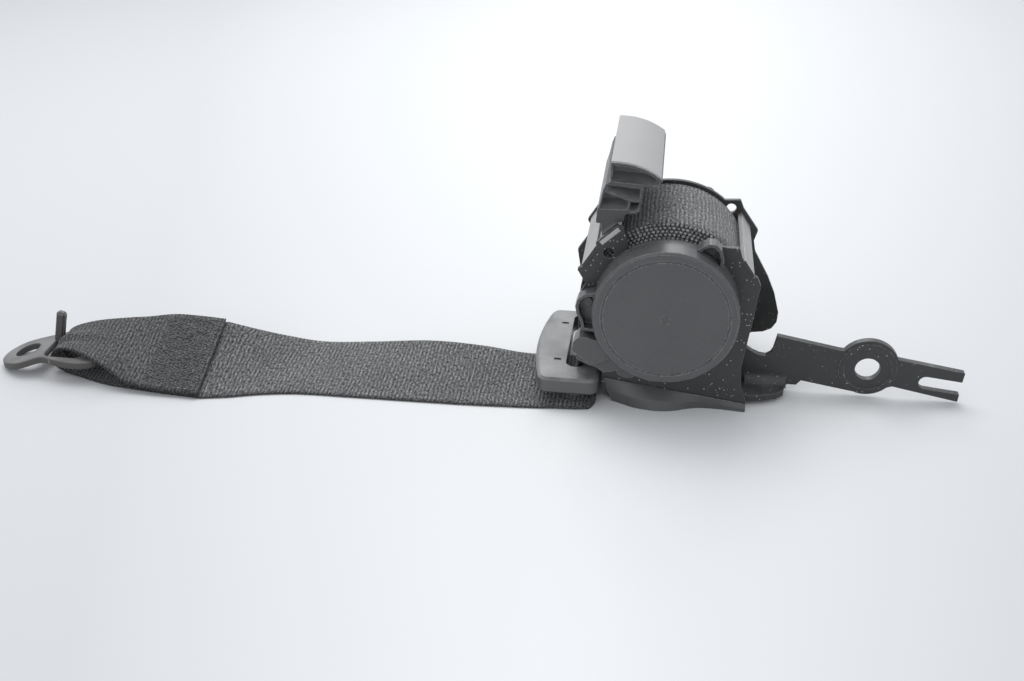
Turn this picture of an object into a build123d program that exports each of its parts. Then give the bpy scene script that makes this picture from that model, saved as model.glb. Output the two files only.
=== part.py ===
from build123d import *
import math
import os

# Emergency-locking seat belt: retractor with its mounting strap, webbing, latch tongue and floor anchor.
# Modelled lying as found: X runs along the belt, Y along the spool axis, Z up from the floor, near plate at Y 0.

# Webbing
WEB_W = 46.5
WEB_T = 1.2
WEB_NEAR_Y = 3.6
ROLL_R = 36.0
SOFT_GAP = 0.35
FOLD_X = -31.0
STRAND_X = -46.0
STRAND_NEAR_Y = -10.7
STRAND_END_X = -207.0
PLY_GAP = 0.3

# Retractor frame
STEEL_T = 2.0
WEB_ROOM = 3.5
FRAME_IN = WEB_W + WEB_ROOM
BEND_R = 4.0
SPOOL_Z = 50.3
ARC_R = 37.0
GAP_Z = 73.0
PLATE_BORE_R = 9.0
RUN_FIT = 0.05
SEAT_FIT = 0.02

# Tie plates
TIE_T = 2.0
TIE_STAKE = 0.2
NEAR_HOLE_R = 2.4
FAR_HOLE_R = 2.3

# Spool
CORE_R = 14.0
JOURNAL_R = 6.5
BUSH_FLANGE_T = 0.3
BAR_R = 4.0
NEAR_FLANGE_R = 26.5
FAR_FLANGE_R = 31.0
FLANGE_T = 0.9
END_GAP = 0.4
SIDE_GAP = 0.3
ARBOR_FLOOR = 1.5
POCKET_END = 11.0
POCKET_DEPTH = 5.0
RIB_T = 2.4

# Spring cassette
COVER_R = 31.0
COVER_DEPTH = 14.0
COVER_WALL = 1.5
COVER_BASE_T = 2.0
GROOVE_R = 26.9
GROOVE_W = 0.9
GROOVE_DEPTH = 0.5
DIMPLE_R = 2.0
EAR_WALL = 1.3
EAR_H = 6.4
EAR_FLOOR = 1.2
RIVET_R = 1.5
RIVETS = ((17.6, 78.4), (-33.6, 50.6))
GUARD_T = 9.0
GUARD_STEP = 5.5
SHROUD_Z = 8.5
SHROUD_FALL = 0.135
SPRING_T = 0.4
SPRING_W = 8.0
SPRING_TURNS = 8
SPRING_OUT_R = 27.0
ARBOR_R = 7.5

# Lock mechanism on the far plate
RATCHET_TEETH = 12
RATCHET_R = 17.0
RATCHET_ROOT_R = 14.2
RATCHET_T = 3.0
DISC_TEETH = 24
DISC_R = 17.0
DISC_ROOT_R = 15.0
DISC_T = 1.8
PIN_R = 2.2
PAWL_EYE_R = 3.8
PAWL_PIVOT_R = 23.0
PAWL_PIVOT_DEG = 196.0
NOSE_DEG = 237.5
NOSE_GAP = 0.9
BALL_R = 4.5
BALL_X = -1.0
BALL_Z = 17.5
SEAT_DEG = 60.0
LEVER_T = 2.0
LEVER_PIVOT_X = -13.0
LEVER_PIVOT_Z = 27.0
LEVER_PIN_R = 1.2
BEAK_X = 5.0
BEAK_GAP = 1.4
BEAK_LEAD = 15.4
MECH_COVER_R = 29.0
MECH_DEPTH = 14.0
MECH_WALL = 1.5
POD_LEFT_X = -20.0
POD_RIGHT_X = 12.0
POD_FLOOR_Z = 6.0
SCREW_R = 1.6
SCREW_HEAD_R = 3.0
SCREW_HEAD_T = 1.8
LUG_R = 4.0
LUG_OUT = 3.5
LUG_DEGREES = (62, 152, 318)

# Web guide
GUIDE_NEAR_Y = 4.0
GUIDE_LEN = 59.0
GUIDE_WALL = 1.3
GUIDE_CELL_DEPTH = 13.0
CAP_GAP = 0.05
CAP_T = 0.8

# Mounting strap
STRAP_T = 3.0
STRAP_Y = 17.5
STRAP_EYE_X = 91.7
STRAP_EYE_Z = 15.4
STRAP_HOLE_R = 5.5
EYE_RING_R = 12.8
EYE_RING_H = 0.5
FORK_GAP = 6.4
FORK_DEPTH = 15.5
STRAP_DROP = 0.11
STRAP_BEND = 4.5
STRAP_RIVETS = (21.0, 33.0)
STRAP_RIVET_Y = 11.5
STRAP_RIVET_R = 2.0

# Latch tongue
TONGUE_Z = 7.0
TONGUE_T = 8.0
TONGUE_ENDS = 19.5
TONGUE_LEN = WEB_W + TONGUE_ENDS
TONGUE_NEAR_Y = WEB_NEAR_Y + WEB_W / 2 - 3.35 - TONGUE_LEN / 2
TONGUE_LEFT_X = -58.0
TONGUE_BOW = 4.4
SLOT_W = 8.6
SLOT_X = -43.0
SLOT_WEB_X = -37.4
TONGUE_RIGHT_X = -27.3
BLADE_T = 2.5
BLADE_Z = 9.8
BLADE_W = 24.0
BLADE_TIP_X = 4.0
WINDOW_L = 9.0
WINDOW_W = 13.0
TONGUE_LIP = 1.2

# Anchor plate
ANCHOR_T = 3.5
ANCHOR_EYE_X = -299.5
ANCHOR_Y = -4.7
ANCHOR_EYE_R = 12.0
ANCHOR_HOLE_R = 5.75
ANCHOR_TILT = 16.0
ANCHOR_BEND_X = ANCHOR_EYE_X + 13.5
ANCHOR_END_X = ANCHOR_EYE_X + 41.0
ANCHOR_HALF_W = 15.6
ANCHOR_SLOT_L = 20.0
ANCHOR_SLOT_W = 21.5
ANCHOR_BAR_W = 8.5
TAB_H = 17.0
TAB_W = 4.2
TAB_LEAN = 17.0
TAB_ROOT = 2.5

SPAN = FRAME_IN + 2 * STEEL_T
FAR_Y = STEEL_T + FRAME_IN
ARBOR_NEAR_Y = -COVER_DEPTH + COVER_WALL + 2 * SIDE_GAP
RATCHET_Y = SPAN + 2 * SIDE_GAP
DISC_Y = RATCHET_Y + RATCHET_T + 2 * SIDE_GAP
LEVER_Y = DISC_Y + DISC_T / 2 - LEVER_T / 2
BEAK_DEG = math.degrees(math.atan2(-DISC_R, BEAK_X))
DISC_PHASE = BEAK_DEG - BEAK_LEAD
STRAP_MID_Y = STRAP_Y + STRAP_T / 2
ORIGIN = (STRAP_EYE_X, STRAP_MID_Y, STRAP_EYE_Z)


# Helpers

def facing(y):
    """A plane whose sketch is drawn in X and Z and extrudes toward the viewer from Y."""
    return Plane(origin=(0, y, 0), x_dir=(1, 0, 0), z_dir=(0, -1, 0))


def slab(outline, near_y, thickness):
    """An outline in X and Z given a thickness away from the viewer."""
    return extrude(facing(near_y + thickness) * outline, thickness)


def shape(*points, radius=0.0):
    """A closed outline through points, with its corners rounded."""
    face = make_face(Polyline(*points, close=True))
    if radius:
        face = fillet(face.vertices(), radius)
    return face


def disc(radius, near_y, thickness, x=0.0, z=SPOOL_Z):
    """A round plate or bar on an axis along Y."""
    return slab(Pos(x, z) * Circle(radius), near_y, thickness)


def polar(radius, degrees, x=0.0, z=SPOOL_Z):
    """A point in X and Z at an angle about an axis, the spool's where none is given."""
    turn = math.radians(degrees)
    return (x + radius * math.cos(turn), z + radius * math.sin(turn))


def bar_section(start, end, thickness):
    """The outline of a flat bar seen on edge, between two points of its middle line."""
    dx, dz = end[0] - start[0], end[1] - start[1]
    length = math.hypot(dx, dz)
    middle = Pos((start[0] + end[0]) / 2, (start[1] + end[1]) / 2)
    return middle * Rot(0, 0, math.degrees(math.atan2(dz, dx))) * Rectangle(length, thickness)


def web_sections(edges, thickness):
    """Cross sections of flat webbing through pairs of points on its two edges, near edge first."""
    near = [Vector(*pair[0]) for pair in edges]
    far = [Vector(*pair[1]) for pair in edges]
    middle = [(a + b) * 0.5 for a, b in zip(near, far)]
    sections = []
    for i in range(len(edges)):
        along = middle[min(i + 1, len(edges) - 1)] - middle[max(i - 1, 0)]
        across = far[i] - near[i]
        half = along.cross(across).normalized() * (thickness / 2)
        corners = (near[i] + half, far[i] + half, far[i] - half, near[i] - half)
        sections.append(Wire.make_polygon(corners, close=True))
    return sections


def ribbon(sections):
    """Webbing as one solid, ruled from each cross section to the next."""
    spans = [Solid.make_loft([a, b], ruled=True) for a, b in zip(sections, sections[1:])]
    return spans[0].fuse(*spans[1:])


# Retractor frame

TIES = {
    "tie_plate_right": ((30.6, 73.0), (35.0, 66.6)),
    "tie_plate_left": ((-30.4, 75.7), (-36.1, 66.3)),
    "tie_plate_upper": ((-21.7, 84.5), (-29.1, 77.6)),
}


def near_outline():
    """The near side plate: two horns, a gap over the spool between them and a waisted right edge."""
    foot_left = [(-22, 0), (-26, 5), (-26.4, 16.5)]
    left = [(-35, 28), (-37, 43), (-37, 54), (-35, 58.4), (-38.9, 65)]
    left += [(-36.3, 66.4), (-30.6, 75.9), (-31.4, 77.6), (-22.8, 85.9)]
    gap = [(-20.2, 85.6), (-18, 79), (-18, GAP_Z), (15, GAP_Z)]
    right = [(15, 80.5), (23.5, 78.8), (28.8, 78.8), (30.2, 74.2), (35.0, 67.0), (37.4, 65.6)]
    right += [(39, 62), (37.6, 48), (36, 34)]
    foot = [(34.6, 22), (35.4, 12), (38.2, 4.5), (38.2, 0)]
    return shape(*foot_left, *left, *gap, *right, *foot, radius=0.8)


def far_outline():
    """The far side plate: arched over the spool, with a shoulder each side and a lobe low on the right."""
    foot = [(-22, 0), (-26, 5), (-26.4, 16.5)]
    left = [(-36, 26), (-41, 39), (-42.8, 50), (-38.4, 57), (-36.6, 62)]
    left += [(-38.6, 65.6), (-31.4, 77.2), (-29.8, 78.3), (-22.4, 84.9)]
    shoulder = [(10, 84), (23, 78.8), (30.6, 79.2), (32.4, 75), (39.8, 64.8), (38.4, 59.6)]
    lobe = [(39.6, 54), (46.8, 41.4), (50.6, 33), (53.5, 23.0), (53.3, 18.0)]
    lobe += [(51.2, 14.4), (47.4, 12.4), (42.0, 11.6), (39.4, 9.4), (38, 0)]
    arch = Pos(0, SPOOL_Z) * Circle(ARC_R)
    return shape(*foot, *left, *shoulder, *lobe, radius=1.0) + arch


def frame():
    """One stamping: two side plates bent up from a floor plate, bored for the spool and slotted for the ties."""
    height = 2 * SPOOL_Z
    outer = fillet((Pos(SPAN / 2, height / 2) * Rectangle(SPAN, height)).vertices().group_by(Axis.Y)[0], BEND_R)
    inner_corners = (Pos(SPAN / 2, height / 2 + STEEL_T) * Rectangle(FRAME_IN, height)).vertices()
    inner = fillet(inner_corners.group_by(Axis.Y)[0], BEND_R - STEEL_T)
    channel = extrude(Plane(origin=(-60, 0, 0), x_dir=(0, 1, 0), z_dir=(1, 0, 0)) * (outer - inner), 120)
    near = slab(near_outline(), -1, SPAN / 2 + 1)
    far = slab(far_outline(), SPAN / 2, SPAN / 2 + 1)
    body = channel & (near + far)
    body -= disc(PLATE_BORE_R, -1, SPAN + 2)
    body -= disc(FAR_HOLE_R, FAR_Y - 1, STEEL_T + 2, 26.7, 75.0)
    body -= disc(NEAR_HOLE_R, -1, STEEL_T + 2, -25.5, 73.1)
    for x, z in RIVETS:
        body -= disc(RIVET_R + SEAT_FIT, -1, STEEL_T + 2, x, z)
    for degrees in LUG_DEGREES:
        body -= disc(SCREW_R + SEAT_FIT, FAR_Y - 1, STEEL_T + 2, *polar(MECH_COVER_R + LUG_OUT, degrees))
    body -= disc(PIN_R + SEAT_FIT, FAR_Y - 1, STEEL_T + 2, *polar(PAWL_PIVOT_R, PAWL_PIVOT_DEG))
    for x in STRAP_RIVETS:
        body -= Pos(x, STRAP_RIVET_Y, 0) * Cylinder(STRAP_RIVET_R + SEAT_FIT, 3 * STEEL_T)
    for start, end in TIES.values():
        body -= slab(bar_section(start, end, TIE_T + 2 * RUN_FIT), -1, STEEL_T + 1)
        body -= slab(bar_section(start, end, TIE_T + 2 * RUN_FIT), FAR_Y, STEEL_T + 1)
    return body


def tie_plate(start, end):
    """A cross plate through both side plates, its ends staked over just outside them."""
    return slab(bar_section(start, end, TIE_T), -TIE_STAKE, SPAN + 2 * TIE_STAKE)


def bearing_bush(near_y, flange_y):
    """A plastic bush pressed in a side plate, with a thin flange on the spool's side."""
    body = disc(PLATE_BORE_R - SEAT_FIT, near_y, STEEL_T) + disc(PLATE_BORE_R + 2, flange_y, BUSH_FLANGE_T)
    return body - disc(JOURNAL_R + RUN_FIT, near_y - 5, 10)


# Spool and what turns with it

def spool():
    """The cast spool: a core between two flanges, a journal at each end and a bore for the torsion bar."""
    near_face = STEEL_T + END_GAP
    far_face = FAR_Y - END_GAP
    body = disc(CORE_R, near_face, far_face - near_face)
    body += disc(NEAR_FLANGE_R, near_face, FLANGE_T)
    body += disc(FAR_FLANGE_R, far_face - FLANGE_T, FLANGE_T)
    body += disc(JOURNAL_R, -1, SPAN + 1 + SIDE_GAP)
    body -= disc(BAR_R + SEAT_FIT, -2, SPAN + 4)
    pockets = disc(CORE_R + 1, POCKET_END, SPAN - 2 * POCKET_END) - disc(CORE_R - POCKET_DEPTH, 0, SPAN)
    cross = Rectangle(RIB_T, 3 * CORE_R) + Rectangle(3 * CORE_R, RIB_T)
    ribs = slab(Pos(0, SPOOL_Z) * (cross + Rot(0, 0, 45) * cross), 0, SPAN)
    return body - (pockets - ribs)


def torsion_bar():
    """The steel bar through the spool, which carries the arbor, the ratchet and the control disc."""
    start_y = ARBOR_NEAR_Y + ARBOR_FLOOR + SIDE_GAP
    bar = disc(BAR_R, start_y, DISC_Y + DISC_T + 1.5 - start_y)
    return chamfer(bar.edges().filter_by(GeomType.CIRCLE), 0.6)


def webbing_roll():
    """The wound webbing, as one ring round the spool's core."""
    return disc(ROLL_R, WEB_NEAR_Y, WEB_W) - disc(CORE_R + SEAT_FIT, WEB_NEAR_Y - 1, WEB_W + 2)


def spring_arbor():
    """The plastic hub that takes the inner end of the spring in its slot."""
    length = -ARBOR_NEAR_Y - 1 - SIDE_GAP
    hub = disc(ARBOR_R, ARBOR_NEAR_Y, length) - disc(BAR_R + SEAT_FIT, ARBOR_NEAR_Y + ARBOR_FLOOR, length)
    notch = Pos(ARBOR_R - 0.6, SPOOL_Z) * Rectangle(2.4, 1.0)
    return hub - slab(notch, ARBOR_NEAR_Y - 1, length + 2)


def toothed(radius, root, teeth, hook, phase=0.0):
    """A ratchet outline: each tooth rises within hook degrees, stays at its tip and slopes back to the next."""
    points = []
    for i in range(teeth):
        start = phase + 360 / teeth * i
        points.append(polar(root, start, z=0))
        points.append(polar(radius, start + hook, z=0))
        points.append(polar(radius, start + hook + 90 / teeth, z=0))
    return Pos(0, SPOOL_Z) * make_face(Polyline(*points, close=True))


def lock_ratchet():
    """The steel ratchet wheel just outside the far plate."""
    wheel = slab(toothed(RATCHET_R, RATCHET_ROOT_R, RATCHET_TEETH, 4), RATCHET_Y, RATCHET_T)
    wheel -= disc(BAR_R + SEAT_FIT, RATCHET_Y - 1, RATCHET_T + 2)
    for i in range(4):
        wheel -= disc(1.8, RATCHET_Y - 1, RATCHET_T + 2, *polar(9.0, 90 * i + 45))
    return wheel


def control_disc():
    """The plastic sensing disc: a fine toothed rim, a hub and open spokes between them."""
    body = slab(toothed(DISC_R, DISC_ROOT_R, DISC_TEETH, 2, DISC_PHASE), DISC_Y, DISC_T)
    for i in range(6):
        body -= disc(2.6, DISC_Y - 1, DISC_T + 2, *polar(10.6, 60 * i + 15))
    body += disc(7, DISC_Y, DISC_T + 1)
    return body - disc(BAR_R + SEAT_FIT, DISC_Y - 1, DISC_T + 3)


# Spring cassette

def ear_outline(points):
    """The outline of a moulded ear that runs into the round cover."""
    return shape(*points, radius=1.4)


EARS = (
    [(8, 77), (10.4, 79), (13.4, 81.6), (16.2, 82.9), (19.0, 82.4), (21.2, 80.0), (22.4, 76.0), (21.4, 66), (14, 66)],
    [(-24, 58), (-31, 56.8), (-34.8, 56), (-37.6, 53.8), (-38.7, 50.4), (-38, 46.4), (-36.2, 42.6), (-35.6, 38.6), (-26, 38)],
)


def spring_cover_base():
    """The moulded back of the spring cassette, with two hollow ears that locate it on the near plate."""
    body = disc(COVER_R, -COVER_BASE_T, COVER_BASE_T)
    for points in EARS:
        outer = ear_outline(points)
        pocket = offset(outer, -EAR_WALL)
        body += slab(outer, -EAR_H, EAR_H) - slab(pocket, -EAR_H - 1, EAR_H - EAR_FLOOR + 1)
    body -= disc(COVER_R + SEAT_FIT, -COVER_DEPTH, COVER_DEPTH - COVER_BASE_T)
    for x, z in RIVETS:
        body -= disc(RIVET_R + SEAT_FIT, -EAR_H, EAR_H + 1, x, z)
    return body - disc(ARBOR_R + 0.5, -COVER_BASE_T - 1, COVER_BASE_T + 2)


def spring_cover_cap():
    """The round cup over the spring, with a shallow groove in its face and a dimple at its centre."""
    depth = COVER_DEPTH - COVER_BASE_T
    cup = disc(COVER_R, -COVER_DEPTH, depth)
    rim = cup.edges().filter_by(GeomType.CIRCLE).sort_by(Axis.Y)[0]
    cup = chamfer(rim, 0.9)
    cup -= disc(COVER_R - COVER_WALL, -COVER_DEPTH + COVER_WALL, depth)
    ring = Circle(GROOVE_R + GROOVE_W / 2) - Circle(GROOVE_R - GROOVE_W / 2)
    cup -= slab(Pos(0, SPOOL_Z) * ring, -COVER_DEPTH - 1, 1 + GROOVE_DEPTH)
    return cup - disc(DIMPLE_R, -COVER_DEPTH - 1, 1 + GROOVE_DEPTH)


def return_spring():
    """A flat spiral spring from the arbor out to the wall of the cup."""
    inner, outer = [], []
    steps = 20 * SPRING_TURNS
    start_r = ARBOR_R + 0.6
    end_r = SPRING_OUT_R
    for i in range(steps + 1):
        degrees = 360 * SPRING_TURNS * i / steps
        radius = start_r + (end_r - start_r) * i / steps
        inner.append(polar(radius, degrees))
        outer.append(polar(radius + SPRING_T, degrees))
    strip = make_face(Polyline(*inner, *reversed(outer), close=True))
    return slab(strip, -COVER_BASE_T - 0.7 - SPRING_W, SPRING_W)


def lower_shroud():
    """The moulded skirt below the near plate: a rounded belly on the left that runs out into a low lip."""
    floor_line = [(-21.5, -0.5), (-17.5, -2.2), (-12, -4.8), (-6.5, -6.1)]
    floor_line += [(-1, -6.5), (4.8, -5.8), (10.4, -3.7)]
    floor_line += [(15, -1.9), (20, -1.1), (28.5, -1.2), (38.2, -1.9)]
    left_x, top_left_x = floor_line[0][0], -25.5
    sections = []
    for height, swell in ((0, 1.0), (0.5, 0.72), (1, 0.0)):
        front = []
        for x, y in floor_line:
            along = (x - left_x) / (floor_line[-1][0] - left_x)
            moved = x + (top_left_x - left_x) * (1 - along) * height
            front.append((moved, swell * y - 0.5 * height, height * (SHROUD_Z - SHROUD_FALL * moved)))
        back = [(x, -SEAT_FIT, z) for x, _, z in (front[-1], front[0])]
        curve = Spline(*front)
        sections.append(Wire([curve, Line(front[-1], back[0]), Line(*back), Line(back[1], front[0])]))
    return Solid.make_loft(sections, ruled=True)


# Lock mechanism

def pawl_points():
    """The pawl's pivot and the tip of its nose, in X and Z."""
    return polar(PAWL_PIVOT_R, PAWL_PIVOT_DEG), polar(RATCHET_R + NOSE_GAP, NOSE_DEG)


def lock_pawl():
    """The steel pawl: an eye on its pin and an arm to a narrow nose held just clear of the ratchet."""
    (pivot_x, pivot_z), nose = pawl_points()
    back = polar(RATCHET_R + 5.5, NOSE_DEG + 8)
    shoulder = polar(RATCHET_R + 4.4, NOSE_DEG - 7)
    lean = math.atan2(nose[1] - pivot_z, nose[0] - pivot_x)
    side_x, side_z = -math.sin(lean) * (PAWL_EYE_R - 0.4), math.cos(lean) * (PAWL_EYE_R - 0.4)
    upper, lower = (pivot_x + side_x, pivot_z + side_z), (pivot_x - side_x, pivot_z - side_z)
    arm = shape(upper, shoulder, (nose[0] - 0.5, nose[1] - 0.1), (nose[0] + 0.5, nose[1] - 0.4), back, lower)
    outline = arm + Pos(pivot_x, pivot_z) * Circle(PAWL_EYE_R)
    return slab(outline - Pos(pivot_x, pivot_z) * Circle(PIN_R + RUN_FIT), RATCHET_Y, RATCHET_T)


def pawl_pin():
    """The riveted pin of the pawl, through the far plate and headed outside the pawl."""
    x, z = polar(PAWL_PIVOT_R, PAWL_PIVOT_DEG)
    length = RATCHET_Y + RATCHET_T + 0.3 - FAR_Y
    return disc(PIN_R, FAR_Y, length, x, z) + disc(PIN_R + 1.0, FAR_Y + length, 0.8, x, z)


def lever_outline():
    """The sensor lever from its pivot over the ball to the beak under the control disc."""
    beak_z = SPOOL_Z - math.sqrt(DISC_R**2 - BEAK_X**2) - BEAK_GAP
    pad_z = BALL_Z + BALL_R + 0.05
    x, z = LEVER_PIVOT_X, LEVER_PIVOT_Z
    low = [(x, z - 2.4), (BALL_X - 3.5, pad_z), (BALL_X + 3.5, pad_z), (BEAK_X + 1.2, pad_z + 2.5)]
    high = [(BEAK_X + 0.4, beak_z), (BEAK_X - 0.4, beak_z), (BEAK_X - 1.4, pad_z + 4), (x, z + 2.4)]
    eye = Pos(x, z) * Circle(2.4)
    return shape(*low, *high) + eye - Pos(x, z) * Circle(LEVER_PIN_R + RUN_FIT)


def sensor_lever():
    """The plastic lever, with a round pad that rests on the ball."""
    body = slab(lever_outline(), LEVER_Y, LEVER_T)
    pad = Pos(BALL_X, LEVER_Y + LEVER_T / 2, BALL_Z + BALL_R + 0.05 + 0.5) * Cylinder(3.0, 1.0)
    return body + pad


def sensor_housing():
    """The plastic seat of the ball: a cone in a block, and two cheeks that hold the lever's pin."""
    middle_y = LEVER_Y + LEVER_T / 2
    top_z = BALL_Z - 0.5
    block = shape((-8.5, 8), (8, 8), (8, top_z), (-8.5, top_z), radius=1.0)
    body = slab(block, SPAN + SEAT_FIT, 2 * (middle_y - SPAN) + 2)
    apex_z = BALL_Z - BALL_R / math.sin(math.radians(SEAT_DEG)) - 0.03
    depth = top_z + 0.5 - apex_z
    rim = depth * math.tan(math.radians(SEAT_DEG))
    body -= Pos(BALL_X, middle_y, apex_z + depth / 2) * Cone(0.01, rim, depth)
    cheek = shape((-16, 8), (-8.4, 8), (-8.4, 12), (-10.2, 29.5), (-15.6, 29.5), radius=0.6)
    for near_y in (LEVER_Y - 0.4 - 1.8, LEVER_Y + LEVER_T + 0.4):
        body += slab(cheek, near_y, 1.8)
    foot = shape((-16, 8), (-8.4, 8), (-8.4, 12), (-16, 12))
    body += slab(foot, SPAN + SEAT_FIT, 2 * (middle_y - SPAN) + 2)
    return body - disc(LEVER_PIN_R + SEAT_FIT, SPAN, 12, LEVER_PIVOT_X, LEVER_PIVOT_Z)


def sensor_ball():
    """The steel ball that rolls up its seat when the car slows or tips."""
    half = [polar(BALL_R, degrees, z=0) for degrees in range(-90, 91, 30)]
    section = make_face(Polyline(*[(x, 0, z) for x, z in half], close=True))
    return Pos(BALL_X, LEVER_Y + LEVER_T / 2, BALL_Z) * revolve(section, Axis.Z)


def lever_pin():
    """The pin through both cheeks and the lever."""
    return disc(LEVER_PIN_R, LEVER_Y - 2.3, LEVER_T + 4.6, LEVER_PIVOT_X, LEVER_PIVOT_Z)


def mechanism_outline():
    """The outline of the mechanism cover: round over the ratchet, with a pod below for the sensor."""
    round_part = Pos(0, SPOOL_Z) * Circle(MECH_COVER_R)
    bottom, top = POD_FLOOR_Z, SPOOL_Z - MECH_COVER_R * 0.4
    pod = shape((POD_LEFT_X, bottom), (POD_RIGHT_X, bottom), (POD_RIGHT_X + 4, top), (POD_LEFT_X - 2, top), radius=3)
    return round_part + pod


def mechanism_cover():
    """The moulded cover over the ratchet, pawl, disc and sensor, held by three screwed lugs."""
    outline = mechanism_outline()
    body = slab(outline, SPAN + SEAT_FIT, MECH_DEPTH)
    edges = body.faces().sort_by(Axis.Y)[-1].outer_wire().edges()
    body = chamfer(edges, 1.0)
    for degrees in LUG_DEGREES:
        body += disc(LUG_R, SPAN + SEAT_FIT, 3.0, *polar(MECH_COVER_R + LUG_OUT, degrees))
    body -= slab(offset(outline, -MECH_WALL), SPAN - 1, MECH_DEPTH - MECH_WALL + 1)
    for degrees in LUG_DEGREES:
        body -= disc(SCREW_R + SEAT_FIT, SPAN - 1, 6, *polar(MECH_COVER_R + LUG_OUT, degrees))
    return body


def cover_screws():
    """Three pan-headed screws through the lugs into the far plate."""
    screws = []
    for degrees in LUG_DEGREES:
        x, z = polar(MECH_COVER_R + LUG_OUT, degrees)
        head_y = SPAN + 3.0 + 2 * SEAT_FIT
        head = disc(SCREW_HEAD_R, head_y, SCREW_HEAD_T, x, z)
        head = chamfer(head.edges().sort_by(Axis.Y)[-1], 0.5)
        cross = Pos(x, z) * (Rectangle(3.2, 0.8) + Rectangle(0.8, 3.2))
        head -= slab(cross, head_y + 0.9, 2)
        screws.append(head + disc(SCREW_R, FAR_Y, head_y - FAR_Y, x, z))
    return Compound(screws)


def cover_rivets():
    """Two plastic rivets in the ears of the spring cassette."""
    rivets = []
    for x, z in RIVETS:
        head = disc(2.0, -EAR_FLOOR - SEAT_FIT - 1.0, 1.0, x, z)
        rivets.append(head + disc(RIVET_R, -EAR_FLOOR - SEAT_FIT, EAR_FLOOR + STEEL_T, x, z))
    return Compound(rivets)


# Web guide

GUIDE_TOP = ((-26.5, 112.0), (-16.0, 110.9), (-5.6, 105.9))
GUIDE_LEFT = [(-31.8, 85.2), (-31.6, 90.3), (-30.3, 95), (-29.4, 99.8), (-28.4, 102.6), (-26.5, 103.7)]
GUIDE_RIGHT = [(-5.1, 104.8), (-6.2, 102.8), (-12.9, 101.9), (-13.2, 95)]
GUIDE_RIGHT += [(-13.9, 91.2), (-15.6, 89.9), (-19.8, 89.7)]
GUIDE_FOOT = [(-20.2, 86.6), (-22.6, 85.5), (-29.2, 79.3), (-29.5, 84.8)]
GUIDE_CELLS = (
    [(-25.7, 103.9), (-8.0, 103.0), (-6.5, 103.8), (-6.2, 105.2), (-9.9, 107.3), (-16.0, 110.0), (-25.7, 111.2)],
    [(-27.4, 102.3), (-13.9, 101.3), (-14.1, 96.0), (-18.4, 96.3), (-26.6, 99.4), (-27.9, 100.6)],
    [(-28.7, 99.3), (-18.8, 95.5), (-18.8, 91.7), (-30.7, 91.4), (-29.6, 95.0)],
    [(-17.9, 95.3), (-14.0, 95.1), (-14.6, 91.6), (-15.8, 90.8), (-17.9, 90.8)],
)


def guide_outline():
    """The guide's outer outline: a flat lens above, a stepped block below and a foot over the upper tie plate."""
    sides = Polyline(GUIDE_TOP[2], *GUIDE_RIGHT, *GUIDE_FOOT, *GUIDE_LEFT, GUIDE_TOP[0])
    return make_face([ThreePointArc(*GUIDE_TOP), *sides.edges()])


def web_guide():
    """The long moulded guide over the roll: thin walls round cells open at each end, with a web between."""
    body = slab(guide_outline(), GUIDE_NEAR_Y, GUIDE_LEN)
    for points in GUIDE_CELLS:
        cell = shape(*points, radius=0.3)
        body -= slab(cell, GUIDE_NEAR_Y - 1, GUIDE_CELL_DEPTH + 1)
        body -= slab(cell, GUIDE_NEAR_Y + GUIDE_CELL_DEPTH + GUIDE_WALL, GUIDE_LEN)
    return body


def guide_cap():
    """The pale slip strip laid along the top of the guide."""
    lower = ThreePointArc(*[(x, z + CAP_GAP) for x, z in GUIDE_TOP])
    upper = ThreePointArc(*[(x, z + CAP_GAP + CAP_T) for x, z in GUIDE_TOP])
    face = make_face([lower, upper, Line(lower @ 0, upper @ 0), Line(lower @ 1, upper @ 1)])
    return slab(face, GUIDE_NEAR_Y, GUIDE_LEN)


def edge_guard():
    """The stepped plastic block clipped on the near plate's lower left edge, beside the tongue."""
    top = [(-39.2, 29.5), (-38.9, 33.8), (-36.6, 36.6), (-32.6, 36.4), (-26.0, 34.6)]
    low = [(-21.0, 28.0), (-27.0, 24.8), (-30.8, 22.6), (-33.4, 24.6), (-36.6, 27.4)]
    body = slab(shape(*top, *low, radius=0.6), -GUARD_T, GUARD_T - SEAT_FIT)
    step_top = [(-37.8, 29.0), (-37.5, 23.4), (-33.4, 21.4), (-28.9, 20.0), (-25.6, 17.5)]
    step_low = [(-22.2, 18.2), (-16.0, 20.5), (-18.0, 27.0), (-27.0, 33.0)]
    body += slab(shape(*step_top, *step_low, radius=0.5), -GUARD_STEP, GUARD_STEP - SEAT_FIT)
    stub_outline = [(-21.0, 20.0), (-19.0, 15.8), (-14.6, 14.2), (-11.0, 15.6), (-12.6, 19.4), (-17.0, 21.5)]
    stub = shape(*stub_outline, radius=0.4)
    body += slab(stub, -GUARD_STEP + 2, GUARD_STEP - 2 - SEAT_FIT)
    return body - disc(COVER_R + SIDE_GAP, -GUARD_T - 1, GUARD_T + 2)


# Mounting strap

def strap_outline():
    """The upright strap in X and Z: low behind the retractor, a waist, the bolt eye and the fork."""
    left = [(15, 2), (15, 9), (24, 15), (37, 22.6)]
    waist = [(40.4, 20.3), (43.6, 18.9), (46.4, 18.6), (48.4, 19.8), (49.4, 21.8), (50.7, 29.1), (78.3, 24.1)]
    fork = [(103, 21.4), (133.8, 16.6), (133.4, 12.3), (133.0, 1.7), (103.5, 7.3), (92.5, 2.9)]
    base = [(88.4, 3.0), (63.4, 7.1), (61.4, 4.6), (57.2, 4.6), (56.6, 2)]
    body = shape(*left, *waist, *fork, *base, radius=0.4)
    return body + Pos(STRAP_EYE_X, STRAP_EYE_Z + 0.8) * Circle(EYE_RING_R + 0.8)


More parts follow.
